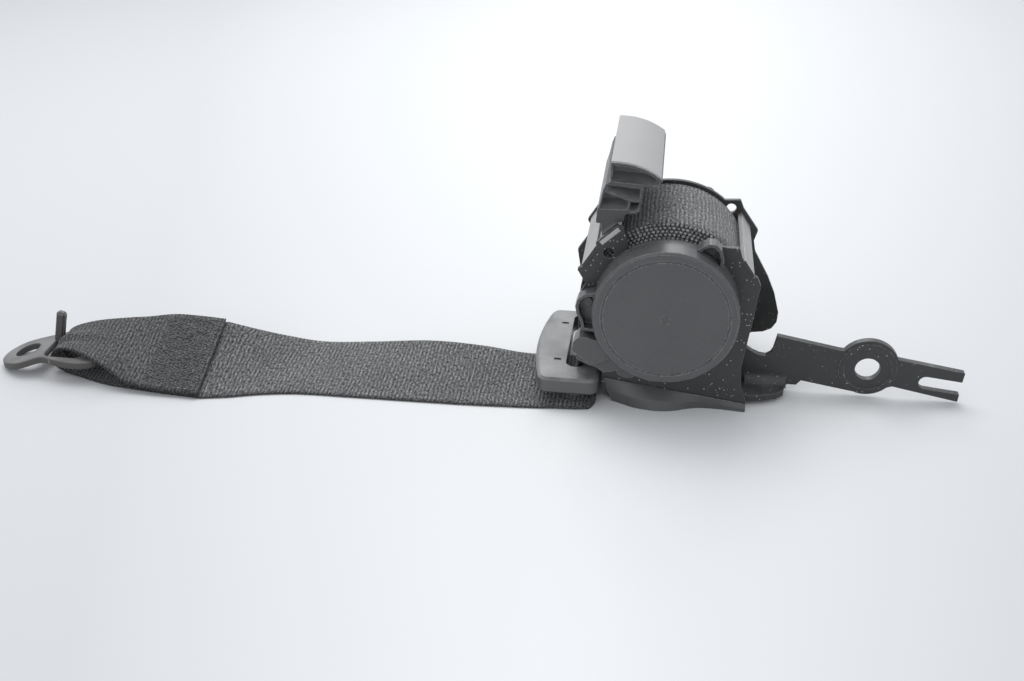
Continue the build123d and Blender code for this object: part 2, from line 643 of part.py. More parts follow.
def mounting_strap():
    """The strap that bolts the retractor down: a foot riveted on the floor plate and an upright end."""
    body = slab(strap_outline(), STRAP_Y, STRAP_T)
    tilt = math.degrees(math.atan2(-STRAP_DROP, 1))
    slot_end_x = 133.4 - FORK_DEPTH
    slot_z = 9.0
    slot = Pos(slot_end_x + 12, slot_z) * Rot(0, 0, tilt) * Rectangle(24, FORK_GAP)
    slot += Pos(slot_end_x, slot_z + 12 * STRAP_DROP) * Circle(FORK_GAP / 2)
    body -= slab(slot, STRAP_Y - 1, STRAP_T + 2)
    foot = [(15, 6), (36, 4), (41, 4.4), (47, 5.8)]
    foot += [(52, 8), (55.4, 11.4), (56.6, STRAP_Y + 1), (15, STRAP_Y + 1)]
    foot_face = fillet(make_face(Polyline(*foot, close=True)).vertices(), 0.9)
    foot_z = STEEL_T + SEAT_FIT
    body += Pos(0, 0, foot_z) * extrude(foot_face, STRAP_T)
    bend = Rectangle(STRAP_BEND, STRAP_BEND) - Pos(-STRAP_BEND / 2, STRAP_BEND / 2) * Circle(STRAP_BEND)
    bend_start, bend_end = 38.0, 56.6
    bend_at = (bend_start, STRAP_Y - STRAP_BEND / 2, foot_z + STRAP_T + STRAP_BEND / 2)
    body += extrude(Plane(origin=bend_at, x_dir=(0, 1, 0), z_dir=(1, 0, 0)) * bend, bend_end - bend_start)
    ring = disc(EYE_RING_R, STRAP_Y - EYE_RING_H, EYE_RING_H + 0.5, STRAP_EYE_X, STRAP_EYE_Z)
    ring -= disc(EYE_RING_R - 2.4, STRAP_Y - 2, 4, STRAP_EYE_X, STRAP_EYE_Z)
    body += ring
    body -= disc(STRAP_HOLE_R, STRAP_Y - 2, STRAP_T + 4, STRAP_EYE_X, STRAP_EYE_Z)
    for x in STRAP_RIVETS:
        body -= Pos(x, STRAP_RIVET_Y, 4) * Cylinder(STRAP_RIVET_R + SEAT_FIT, 12)
    return body


def strap_rivets():
    """Two rivets through the floor plate and the strap's foot."""
    rivets = []
    top_z = STEEL_T + STRAP_T + 2 * SEAT_FIT
    for x in STRAP_RIVETS:
        shank = Pos(x, STRAP_RIVET_Y, top_z / 2) * Cylinder(STRAP_RIVET_R, top_z)
        head = Pos(x, STRAP_RIVET_Y, top_z + 0.7) * Cylinder(3.4, 1.4)
        rivets.append(shank + chamfer(head.edges().sort_by(Axis.Z)[-1], 0.5))
    return Compound(rivets)


# Latch tongue

def tongue_outline():
    """The tongue's moulded body from above: bowed on the left, square on the right."""
    near_y, far_y = TONGUE_NEAR_Y, TONGUE_NEAR_Y + TONGUE_LEN
    end_x = TONGUE_LEFT_X + TONGUE_BOW
    bow = ThreePointArc((end_x, far_y), (TONGUE_LEFT_X, (near_y + far_y) / 2), (end_x, near_y))
    sides = Polyline((end_x, near_y), (TONGUE_RIGHT_X, near_y), (TONGUE_RIGHT_X, far_y), (end_x, far_y))
    face = make_face([bow, *sides.edges()])
    return fillet(face.vertices(), 4.5)


def tongue_slot():
    """The webbing slot through the tongue, from above."""
    length = WEB_W + 3.4
    middle_y = WEB_NEAR_Y + WEB_W / 2
    return Pos(SLOT_X + SLOT_W / 2, middle_y) * Rot(0, 0, 90) * SlotOverall(length, SLOT_W)


def blade_outline():
    """The steel plate of the tongue from above: a head round the slot and a blade with a latch window."""
    near_y, far_y = TONGUE_NEAR_Y + 3, TONGUE_NEAR_Y + TONGUE_LEN - 3
    middle_y = WEB_NEAR_Y + WEB_W / 2
    low, high = middle_y - BLADE_W / 2, middle_y + BLADE_W / 2
    x0, x1 = TONGUE_LEFT_X + TONGUE_BOW + 2.1, TONGUE_RIGHT_X - 2.5
    head = fillet(make_face(Polyline((x0, near_y), (x1, near_y), (x1, far_y), (x0, far_y), close=True)).vertices(), 3)
    blade = make_face(Polyline((x1 - 2, low), (BLADE_TIP_X, low), (BLADE_TIP_X, high), (x1 - 2, high), close=True))
    tip = blade.vertices().sort_by(Axis.X)[-2:]
    window = Pos(BLADE_TIP_X - 12.5, middle_y) * RectangleRounded(WINDOW_L, WINDOW_W, 1.5)
    return head + fillet(tip, 5.0) - window


def tongue_plate():
    """The steel plate of the tongue, whose slot is wider than the moulded lining inside it."""
    hole = offset(tongue_slot(), TONGUE_LIP)
    body = Pos(0, 0, BLADE_Z) * extrude(blade_outline() - hole, BLADE_T)
    return body


def tongue_body():
    """The moulded grip over the plate, with rounded edges and two moulding slots in its top."""
    outer = Pos(0, 0, TONGUE_Z) * extrude(tongue_outline(), TONGUE_T)
    outer = chamfer(outer.edges().group_by(Axis.Z)[-1] + outer.edges().group_by(Axis.Z)[0], 1.2)
    opening = Pos(0, 0, TONGUE_Z - 1) * extrude(tongue_slot(), TONGUE_T + 2)
    hole = offset(tongue_slot(), TONGUE_LIP - SEAT_FIT)
    blade = offset(blade_outline(), SEAT_FIT) - hole
    outer -= Pos(0, 0, BLADE_Z - SEAT_FIT) * extrude(blade, BLADE_T + 2 * SEAT_FIT)
    for x, y in ((-46.9, 42.6), (-47.1, 8.0)):
        outer -= Pos(x, y, TONGUE_Z + TONGUE_T) * Box(3.2, 1.6, 3.0)
    return outer - opening


# Anchor

def anchor_outline():
    """The anchor plate from above, laid flat: round eye, waist and a wide bowed end."""
    eye = Pos(0, 0) * Circle(ANCHOR_EYE_R)
    bend, end, half = ANCHOR_BEND_X - ANCHOR_EYE_X, ANCHOR_END_X - ANCHOR_EYE_X, ANCHOR_HALF_W
    waist = [(2, -8.5), (9, -8.5), (bend + 5, -half), (end - 5, -half), (end, -half + 6)]
    mirror = [(x, -y) for x, y in reversed(waist)]
    wide = make_face(Polyline(*waist, *mirror, close=True))
    corners = [v for v in wide.vertices() if v.X > 9.5]
    return eye + fillet(corners, 3.5)


def anchor_slot():
    """The webbing slot of the anchor plate, one bar's width from its wide end."""
    x = ANCHOR_END_X - ANCHOR_EYE_X - ANCHOR_BAR_W - ANCHOR_SLOT_L / 2
    return Pos(x, 0) * RectangleRounded(ANCHOR_SLOT_L, ANCHOR_SLOT_W, 5.0)


def anchor_place():
    """Where the tilted end of the anchor plate lies: its tip on the floor, rising to the right."""
    tilt = math.radians(ANCHOR_TILT)
    rise = ANCHOR_EYE_R * math.sin(tilt)
    return Pos(ANCHOR_EYE_X, ANCHOR_Y, rise) * Rot(0, -ANCHOR_TILT, 0)


def anchor_plate():
    """The steel anchor: a tilted bolt eye with an upright locating tab, joggled to a level slotted end."""
    tilt = math.radians(ANCHOR_TILT)
    bend = (ANCHOR_BEND_X - ANCHOR_EYE_X) / math.cos(tilt)
    place = anchor_place()
    flat = anchor_outline() - anchor_slot() - Circle(ANCHOR_HOLE_R)
    left = Pos(bend - 50, 0) * Rectangle(100, 60)
    tilted = place * extrude(flat & left, ANCHOR_T)
    level_z = (ANCHOR_EYE_R + bend) * math.sin(tilt)
    right = Pos(bend + 50, 0) * Rectangle(100, 60)
    hinge_x = ANCHOR_EYE_X + bend * math.cos(tilt)
    level = Pos(hinge_x - bend, ANCHOR_Y, level_z) * extrude(flat & right, ANCHOR_T)
    wedge = Plane(origin=(hinge_x, ANCHOR_Y, level_z), x_dir=(1, 0, 0), z_dir=(0, -1, 0))
    turn = Polyline((0, 0), (0, ANCHOR_T), (-ANCHOR_T * math.sin(tilt), ANCHOR_T * math.cos(tilt)), close=True)
    arms = extrude(wedge * make_face(turn), ANCHOR_HALF_W, both=True)
    arms &= Pos(hinge_x - bend, ANCHOR_Y, level_z - 1) * extrude(flat, ANCHOR_T + 3)
    tab_foot = Pos(hinge_x - 1.4, ANCHOR_Y + 2, level_z + ANCHOR_T - TAB_ROOT)
    tab = tab_foot * Rot(0, TAB_LEAN, 0) * Pos(0, 0, (TAB_H + TAB_ROOT) / 2) * Box(TAB_W, ANCHOR_T, TAB_H + TAB_ROOT)
    return tilted + level + arms + tab


# Webbing off the roll

def drop_edges():
    """Webbing from the roll down through the tongue's slot, folded back under it and out along the floor."""
    half = WEB_T / 2
    slot_x = SLOT_WEB_X
    track_r = ROLL_R + SOFT_GAP + half
    slot_z = TONGUE_Z + TONGUE_T
    reach = math.hypot(slot_x, SPOOL_Z - slot_z)
    lean = math.atan2(slot_z - SPOOL_Z, slot_x) - math.acos(track_r / reach)
    tangent = (track_r * math.cos(lean), SPOOL_Z + track_r * math.sin(lean))
    fold_r = (TONGUE_Z - 1.8 - half) / 2 - 0.1
    fold_top = half + 2 * fold_r
    path = [tangent, (slot_x, slot_z), (slot_x, TONGUE_Z - 0.6), (slot_x + 2.4, fold_top + 0.2)]
    for degrees in (90, 60, 30, 0, -30, -60, -90):
        turn = math.radians(degrees)
        path.append((FOLD_X + fold_r * math.cos(turn), half + fold_r + fold_r * math.sin(turn)))
    shift = (WEB_NEAR_Y - STRAND_NEAR_Y) / 8
    near = [WEB_NEAR_Y] * 4 + [WEB_NEAR_Y - shift * i for i in range(1, 8)]
    return [((x, y, z), (x, y + WEB_W, z)) for (x, z), y in zip(path, near)]


def strand_edges():
    """The free webbing on the floor: flat at the tongue, its far edge lifting toward the sewn end."""
    half = WEB_T / 2
    stations = [
        (STRAND_X, STRAND_NEAR_Y, 0.0),
        (-53, -11.5, 0.0),
        (-66, -12.4, 0.6),
        (-85, -13.4, 3.5),
        (-110, -14.0, 4.8),
        (-140, -14.5, 2.0),
        (-165, -15.3, 0.6),
        (-182, -18.5, 4.5),
        (-195, -22.5, 9.8),
    ]
    edges = []
    for x, near_y, lift in stations:
        reach = math.sqrt(WEB_W**2 - lift**2)
        edges.append(((x, near_y, half), (x, near_y + reach, half + lift)))
    return edges


def loop_edges():
    """The sewn end: back along the floor, up through the anchor's slot, and over the bar to the seam."""
    half = WEB_T / 2
    ply = WEB_T + PLY_GAP
    return [
        ((STRAND_END_X, -25, half), (STRAND_END_X, 17.9, half + 15.5)),
        ((-235, -22.5, half), (-235, 16, half + 11)),
        ((-255, -19.5, half), (-255, 9.5, 2.6)),
        ((-270, -15, 1.2), (-270, 5.5, 1.6)),
        ((-278.5, -13, 2.6), (-278.5, 3.6, 2.8)),
        ((-283, -12.2, 6.6), (-283, 2.8, 6.8)),
        ((-280, -12.6, 12.2), (-280, 3.2, 12.6)),
        ((-270, -14.4, 13.6), (-270, 5.5, 17.4)),
        ((-252, -21, 10.6), (-252, 12.5, 19.6)),
        ((-245, -23.3, 5.6), (-245, 14.5, 18.9)),
        ((-232, -24.7, 3.4), (-232, 17, 18.2)),
        ((STRAND_END_X - 1, -25.4, half + ply + 0.4), (STRAND_END_X - 1, 17.4, half + 15.5 + ply + 0.4)),
    ]


def webbing():
    """The unwound webbing in one run, cut into the drop, the free strand and the sewn loop."""
    drop, strand, loop = drop_edges(), strand_edges(), loop_edges()
    sections = web_sections(drop + strand + loop, WEB_T)
    strand_start, loop_start = len(drop), len(drop) + len(strand)
    return {
        "webbing_drop": ribbon(sections[: strand_start + 1]),
        "webbing_strand": ribbon(sections[strand_start : loop_start + 1]),
        "webbing_loop": ribbon(sections[loop_start:]),
    }


def build():
    """Every piece by name, in the frame it is drawn in."""
    parts = {
        "frame": frame(),
        "bush_near": bearing_bush(0, STEEL_T),
        "bush_far": bearing_bush(FAR_Y, FAR_Y - BUSH_FLANGE_T),
        "spool": spool(),
        "torsion_bar": torsion_bar(),
        "webbing_roll": webbing_roll(),
        "spring_arbor": spring_arbor(),
        "lock_ratchet": lock_ratchet(),
        "control_disc": control_disc(),
        "spring_cover_base": spring_cover_base(),
        "spring_cover_cap": spring_cover_cap(),
        "return_spring": return_spring(),
        "cover_rivets": cover_rivets(),
        "lower_shroud": lower_shroud(),
        "edge_guard": edge_guard(),
        "lock_pawl": lock_pawl(),
        "pawl_pin": pawl_pin(),
        "sensor_housing": sensor_housing(),
        "sensor_ball": sensor_ball(),
        "sensor_lever": sensor_lever(),
        "lever_pin": lever_pin(),
        "mechanism_cover": mechanism_cover(),
        "cover_screws": cover_screws(),
        "web_guide": web_guide(),
        "guide_cap": guide_cap(),
        "mounting_strap": mounting_strap(),
        "strap_rivets": strap_rivets(),
        "tongue_plate": tongue_plate(),
        "tongue_body": tongue_body(),
        "anchor_plate": anchor_plate(),
    }
    parts.update(webbing())
    for name, (start, end) in TIES.items():
        parts[name] = tie_plate(start, end)
    return parts


os.makedirs("parts", exist_ok=True)
to_origin = Pos(-ORIGIN[0], -ORIGIN[1], -ORIGIN[2])
for name, part in build().items():
    export_step(to_origin * part, f"parts/{name}.step")
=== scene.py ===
import math
import random

import bmesh
import bpy
from mathutils import Matrix, Vector


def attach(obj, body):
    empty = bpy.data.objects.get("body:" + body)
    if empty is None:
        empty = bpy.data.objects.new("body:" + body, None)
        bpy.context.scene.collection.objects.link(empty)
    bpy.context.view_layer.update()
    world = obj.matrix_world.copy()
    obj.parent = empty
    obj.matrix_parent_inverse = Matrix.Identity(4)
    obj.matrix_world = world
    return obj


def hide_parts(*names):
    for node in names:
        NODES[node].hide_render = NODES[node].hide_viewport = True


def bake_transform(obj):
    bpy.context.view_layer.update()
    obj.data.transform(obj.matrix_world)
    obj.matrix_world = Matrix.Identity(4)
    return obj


bl_info = {
    "name": "Seat belt looks",
    "version": (1, 0, 0),
    "blender": (4, 5, 0),
    "location": "3D View > Sidebar > Seat belt",
    "description": "Webbing, stitching and finishes for a seat belt retractor with tongue and anchor",
    "category": "Object",
}

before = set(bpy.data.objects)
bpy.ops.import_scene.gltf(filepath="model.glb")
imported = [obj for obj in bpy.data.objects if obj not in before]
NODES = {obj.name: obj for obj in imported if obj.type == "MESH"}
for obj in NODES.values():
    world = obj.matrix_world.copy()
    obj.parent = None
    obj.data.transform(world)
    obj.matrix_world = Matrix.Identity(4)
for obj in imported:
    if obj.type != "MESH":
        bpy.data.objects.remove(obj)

SEED = 7

# Surface sizes, in metres
RIB = 0.0018
# How far the painted shade along the webbing's near edge reaches.
NEAR_EDGE_SHADE_WIDTH = 0.0022
SPECK_SIZE = 0.0017
UNDERSIDE_SHIFT = 0.0006

# Surface tones and shares
# The dust tone also serves as painted top light on upward faces.
DUST_AND_TOP_LIGHT_TONE = 0.42
SPECK_TONE = 0.5
PLATED_METALLIC = 0.85

# Lengths below are in millimetres, with X right, Y away and Z up from the floor; at() moves them to the frame's metres.
MM = 1000
BOLT_EYE = Vector((91.7, 19.0, 15.4))
SPOOL_Z = 50.3

# The wound webbing
ROLL_R = 36.0
CORE_R = 14.7
ROLL_TURNS = 16.5
STEPS_PER_TURN = 96
STEPPED_TURNS = 5
BEADED_TURNS = 5.2
WEB_NEAR_Y = 3.6

# The webbing between the roll and the floor
DROP_END_X = -46.0
DROP_END_Y = -10.7
FOLD_X = -31.0
FOLD_R = 2.2
SLOT_X = -37.4
TONGUE_LOW_Z = 7.0
TONGUE_HIGH_Z = 15.0

# The seam of the loop
SEAM_START_X = -236
SEAM_END_X = -209
SEAM_COLUMNS = 9
SEAM_STITCHES = 52
LOOP_ACROSS = 32

# The anchor, seen from above
ANCHOR_T = 3.5
ANCHOR_ROUND = 0.6
ANCHOR_TILT = 16.0
EYE_X, EYE_Y, EYE_R = -299.5, -4.7, 5.75
BEND_X = -286.0
BEND_HALF = 4
LEVEL_Z = 7.2
BAR_SLOT_X = -277.0
BAR_SLOT_HALF_L, BAR_SLOT_HALF_W, BAR_SLOT_CORNER = 10.0, 10.75, 5.0
TAB_FOOT = (-285.8, 0.8, 9.2)
TAB_W, TAB_H = 4.2, 17.0
TAB_LEAN = 15
TAB_ROUND = 0.8
ANCHOR_OUTLINE = [
    (-310.9, -8.5), (-311.2, -3.0), (-309.0, 1.6), (-304.8, 5.0), (-298.5, 6.4), (-291.0, 7.0), (-284.0, 8.6),
    (-276.0, 10.6), (-266.0, 11.4), (-260.4, 8.6), (-258.5, 2.6), (-258.5, -12.0), (-261.0, -17.6), (-267.0, -20.0),
    (-276.0, -19.4), (-282.0, -17.6), (-287.5, -16.2), (-291.5, -17.0), (-296.5, -18.4), (-302.0, -17.2),
    (-307.4, -13.8),
]


def at(x, y, z):
    """A point given in millimetres from the floor, in metres of the frame."""
    return (Vector((x, y, z)) - BOLT_EYE) / MM


# Nodes

def put(tree, kind, feeds=None, **settings):
    """Adds a node, sets its settings, then sets or links its inputs."""
    node = tree.nodes.new(kind)
    for key, value in settings.items():
        setattr(node, key, value)
    for key, value in (feeds or {}).items():
        if isinstance(value, bpy.types.NodeSocket):
            tree.links.new(value, node.inputs[key])
        else:
            node.inputs[key].default_value = value
    return node


def new_surface(name, roughness, metallic=0.0, **constants):
    """A material with one shader, whose constants are set on the shader's own sockets."""
    material = bpy.data.materials.new(name)
    material.use_nodes = True
    tree = material.node_tree
    shader = tree.nodes["Principled BSDF"]
    shader.inputs["Roughness"].default_value = roughness
    shader.inputs["Metallic"].default_value = metallic
    for key, value in constants.items():
        shader.inputs[key.replace("_", " ")].default_value = value
    return material, tree, shader


def mix_colour(tree, factor, a, b):
    """The colour between a and b."""
    node = put(tree, "ShaderNodeMix", data_type="RGBA")
    for socket, value in ((node.inputs[0], factor), (node.inputs[6], a), (node.inputs[7], b)):
        if isinstance(value, bpy.types.NodeSocket):
            tree.links.new(value, socket)
        else:
            socket.default_value = value
    return node.outputs[2]


def remap(tree, value, low, high, start=0.0, end=1.0):
    """Maps low..high to start..end, held at the ends."""
    feeds = {0: value, 1: low, 2: high, 3: start, 4: end}
    return put(tree, "ShaderNodeMapRange", feeds).outputs[0]


def maths(tree, operation, a, b=0.0):
    """The result of a sum, product or other operation on two values."""
    return put(tree, "ShaderNodeMath", {0: a, 1: b}, operation=operation).outputs[0]


def grey(value, warm=0.0):
    """A grey, with a little more red and less blue where warm is above zero."""
    return (value * (1 + warm), value, value * (1 - warm), 1.0)


def noise(tree, position, scale, detail=3.0, roughness=0.55):
    """Cloudy noise around a half, its scale in waves to the metre."""
    feeds = {"Vector": position, "Scale": scale, "Detail": detail, "Roughness": roughness}
    return put(tree, "ShaderNodeTexNoise", feeds).outputs[0]


def edge_share(tree, radius):
    """How near a point is to a sharp outer edge, and the normal rounded over it."""
    rounded = put(tree, "ShaderNodeBevel", {"Radius": radius}, samples=6).outputs[0]
    flat = put(tree, "ShaderNodeNewGeometry").outputs["True Normal"]
    alike = put(tree, "ShaderNodeVectorMath", {0: rounded, 1: flat}, operation="DOT_PRODUCT").outputs["Value"]
    return remap(tree, alike, 0.995, 0.8), rounded


def upward(tree):
    """How far a surface faces up."""
    normal = put(tree, "ShaderNodeNewGeometry").outputs["Normal"]
    return put(tree, "ShaderNodeSeparateXYZ", {0: normal}).outputs[2]


def specks(tree, position, size, share):
    """Scattered dust grains: one in some of the cells."""
    cells = put(tree, "ShaderNodeTexVoronoi", {"Vector": position, "Scale": 1 / size, "Randomness": 1.0})
    draw = put(tree, "ShaderNodeSeparateColor", {0: cells.outputs["Color"]}).outputs
    reach = remap(tree, draw[1], 0.0, 1.0, 0.05, 0.17)
    dot = maths(tree, "LESS_THAN", cells.outputs["Distance"], reach)
    return maths(tree, "MULTIPLY", dot, maths(tree, "LESS_THAN", draw[0], share))


def hard_surface(name, colour, roughness, metallic=0.0, edge=None, dust_and_top_light=0.0, grain=0.0, grain_size=0.0004,
                 spread=0.12, speck_share=0.0, edge_radius=0.00035):
    """Moulded plastic, paint or metal: uneven tone, fine grain, worn edges with painted edge highlights, dust on top
    with painted top light, and scattered specks.
    """
    material, tree, shader = new_surface(name, roughness, metallic)
    position = put(tree, "ShaderNodeTexCoord").outputs["Object"]
    cloudy = noise(tree, position, 60.0)
    low = tuple(c * (1 - spread) for c in colour[:3]) + (1.0,)
    high = tuple(c * (1 + spread) for c in colour[:3]) + (1.0,)
    tone = mix_colour(tree, cloudy, low, high)
    near_edge, rounded = edge_share(tree, edge_radius)
    # Paler near sharp edges and in patches: partly wear, partly painted edge highlight.
    if edge:
        patchy = remap(tree, noise(tree, position, 900.0), 0.35, 0.6)
        tone = mix_colour(tree, maths(tree, "MULTIPLY", near_edge, patchy), tone, edge)
    # Dust on upward faces, which is also painted top light: tops are made paler than sides.
    if dust_and_top_light:
        settled_and_lit = maths(tree, "MULTIPLY", remap(tree, upward(tree), 0.2, 0.9), remap(tree, cloudy, 0.3, 0.75))
        tone = mix_colour(tree, maths(tree, "MULTIPLY", settled_and_lit, dust_and_top_light), tone, grey(DUST_AND_TOP_LIGHT_TONE))
    if speck_share:
        tone = mix_colour(tree, specks(tree, position, SPECK_SIZE, speck_share), tone, grey(SPECK_TONE))
    tree.links.new(tone, shader.inputs["Base Color"])
    streaks = remap(tree, noise(tree, position, 240.0), 0.2, 0.8, roughness - 0.06, roughness + 0.08)
    tree.links.new(streaks, shader.inputs["Roughness"])
    fine = noise(tree, position, 1 / grain_size, 2.0)
    feeds = {"Strength": max(grain, 0.02), "Distance": 0.0001, "Height": fine, "Normal": rounded}
    bump = put(tree, "ShaderNodeBump", feeds)
    tree.links.new(bump.outputs[0], shader.inputs["Normal"])
    return material


def paint_ends(surface, colour):
    """Paints the faces of a plated surface that look along Y."""
    tree = surface.node_tree
    shader = tree.nodes["Principled BSDF"]
    normal = put(tree, "ShaderNodeTexCoord").outputs["Normal"]
    facing = maths(tree, "ABSOLUTE", put(tree, "ShaderNodeSeparateXYZ", {0: normal}).outputs[1])
    end = maths(tree, "GREATER_THAN", facing, 0.7)
    plated = shader.inputs["Base Color"].links[0].from_socket
    tree.links.new(mix_colour(tree, end, plated, colour), shader.inputs["Base Color"])
    tree.links.new(remap(tree, end, 0.0, 1.0, PLATED_METALLIC, 0.0), shader.inputs["Metallic"])


def paint_light_in_recesses(surface, colour, reach):
    """Turns a surface paler in its recesses: painted light where the recesses would be in shade."""
    tree = surface.node_tree
    shader = tree.nodes["Principled BSDF"]
    open_share = put(tree, "ShaderNodeAmbientOcclusion", {"Distance": reach}, samples=8).outputs["AO"]
    outside = shader.inputs["Base Color"].links[0].from_socket
    # Paler where little is open around a point: painted light in the recesses.
    tone = mix_colour(tree, remap(tree, open_share, 0.25, 0.7), colour, outside)
    tree.links.new(tone, shader.inputs["Base Color"])


def woven_surface(name, colour):
    """Webbing: ribs across the width, broken into floats and gaps whose light and shade are painted into the colour,
    read from the strip's UV in metres.
    """
    material, tree, shader = new_surface(name, 0.8, Sheen_Weight=0.2, Sheen_Roughness=0.4, Specular_IOR_Level=0.3)
    uv = put(tree, "ShaderNodeUVMap", uv_map="web").outputs[0]
    across, along = (put(tree, "ShaderNodeSeparateXYZ", {0: uv}).outputs[k] for k in (0, 1))
    wander = remap(tree, noise(tree, uv, 60.0, 2.0), 0.0, 1.0, -0.6 * RIB, 0.6 * RIB)
    turn = maths(tree, "MULTIPLY", maths(tree, "ADD", along, wander), 2 * math.pi / RIB)
    rib = remap(tree, maths(tree, "SINE", turn), -1.0, 1.0)
    stretch = put(tree, "ShaderNodeCombineXYZ", {0: maths(tree, "MULTIPLY", across, 0.55), 1: along}).outputs[0]
    floats = noise(tree, stretch, 1050.0, 2.0, 0.7)
    # The floats' light and the gaps' shade are painted into the colour.
    lit = maths(tree, "MULTIPLY", remap(tree, floats, 0.36, 0.66), remap(tree, rib, 0.0, 1.0, 0.45, 1.0))
    cloudy = remap(tree, noise(tree, uv, 45.0), 0.3, 0.7, 0.85, 1.12)
    # Darker along the near edge: painted shade.
    near_edge_shade = remap(tree, across, 0.0, NEAR_EDGE_SHADE_WIDTH, 0.45, 1.0)
    cloudy = maths(tree, "MULTIPLY", cloudy, near_edge_shade)
    tone = mix_colour(tree, lit, grey(colour * 0.16), grey(colour * 3.0))
    tone = put(tree, "ShaderNodeVectorMath", {0: tone, 3: cloudy}, operation="SCALE").outputs[0]
    tree.links.new(tone, shader.inputs["Base Color"])
    height = maths(tree, "ADD", rib, maths(tree, "MULTIPLY", floats, 0.6))
    bump = put(tree, "ShaderNodeBump", {"Strength": 0.9, "Distance": 0.0003, "Height": height})
    tree.links.new(bump.outputs[0], shader.inputs["Normal"])
    return material


def thread_surface(name, colour):
    """Twisted thread."""
    material, tree, shader = new_surface(name, 0.75, Sheen_Weight=0.3)
    position = put(tree, "ShaderNodeTexCoord").outputs["Object"]
    twist = remap(tree, noise(tree, position, 1500.0), 0.35, 0.65)
    tree.links.new(mix_colour(tree, twist, grey(colour * 0.35), grey(colour * 2.0)), shader.inputs["Base Color"])
    bump = put(tree, "ShaderNodeBump", {"Strength": 0.5, "Distance": 0.0001, "Height": twist})
    tree.links.new(bump.outputs[0], shader.inputs["Normal"])
    return material


# Strips of webbing

def smooth_run(stations, step=1.4):
    """Finer pairs of edge points through the given ones, in mm, about a step apart along the strip."""
    pairs = [(Vector(a), Vector(b)) for a, b in stations]
    run = []
    for i in range(len(pairs) - 1):
        before, start, end, after = (pairs[max(0, min(len(pairs) - 1, i + k))] for k in (-1, 0, 1, 2))
        length = max((end[k] - start[k]).length for k in (0, 1))
        count = max(2, math.ceil(length / step))
        for j in range(count):
            t = j / count
            run.append(tuple(curve_point(before[k], start[k], end[k], after[k], t) for k in (0, 1)))
    run.append(pairs[-1])
    return run


def curve_point(p0, p1, p2, p3, t):
    """A point between p1 and p2 on a centripetal curve through them."""
    knots = [0.0]
    for a, b in ((p0, p1), (p1, p2), (p2, p3)):
        knots.append(knots[-1] + max((b - a).length, 1e-4) ** 0.5)
    t0, t1, t2, t3 = knots
    u = t1 + (t2 - t1) * t
    a1 = p0 * ((t1 - u) / (t1 - t0)) + p1 * ((u - t0) / (t1 - t0)) if p0 != p1 else p1.copy()
    a2 = p1 * ((t2 - u) / (t2 - t1)) + p2 * ((u - t1) / (t2 - t1))
    a3 = p2 * ((t3 - u) / (t3 - t2)) + p3 * ((u - t2) / (t3 - t2)) if p2 != p3 else p2.copy()
    b1 = a1 * ((t2 - u) / (t2 - t0)) + a2 * ((u - t0) / (t2 - t0))
    b2 = a2 * ((t3 - u) / (t3 - t1)) + a3 * ((u - t1) / (t3 - t1))
    return b1 * ((t2 - u) / (t2 - t1)) + b2 * ((u - t1) / (t2 - t1))


def strip_rows(run, across, shape=None):
    """Rows of points across the strip, along a run of edge pairs. shape gives a point's offset from a straight row."""
    rows = []
    for i, (near, far) in enumerate(run):
        ahead = run[min(i + 1, len(run) - 1)]
        behind = run[max(i - 1, 0)]
        along = ((ahead[0] + ahead[1]) - (behind[0] + behind[1])).normalized()
        normal = along.cross(far - near).normalized()
        share = i / (len(run) - 1)
        row = []
        for j in range(across + 1):
            t = j / across
            point = near.lerp(far, t)
            if shape:
                point = point + shape(share, t, normal)
            row.append(point)
        rows.append(row)
    return rows


def row_normals(rows):
    """The normal at each point of a grid of rows."""
    normals = []
    for i, row in enumerate(rows):
        line = []
        for j in range(len(row)):
            along = rows[min(i + 1, len(rows) - 1)][j] - rows[max(i - 1, 0)][j]
            over = row[min(j + 1, len(row) - 1)] - row[max(j - 1, 0)]
            line.append(along.cross(over).normalized())
        normals.append(line)
    return normals


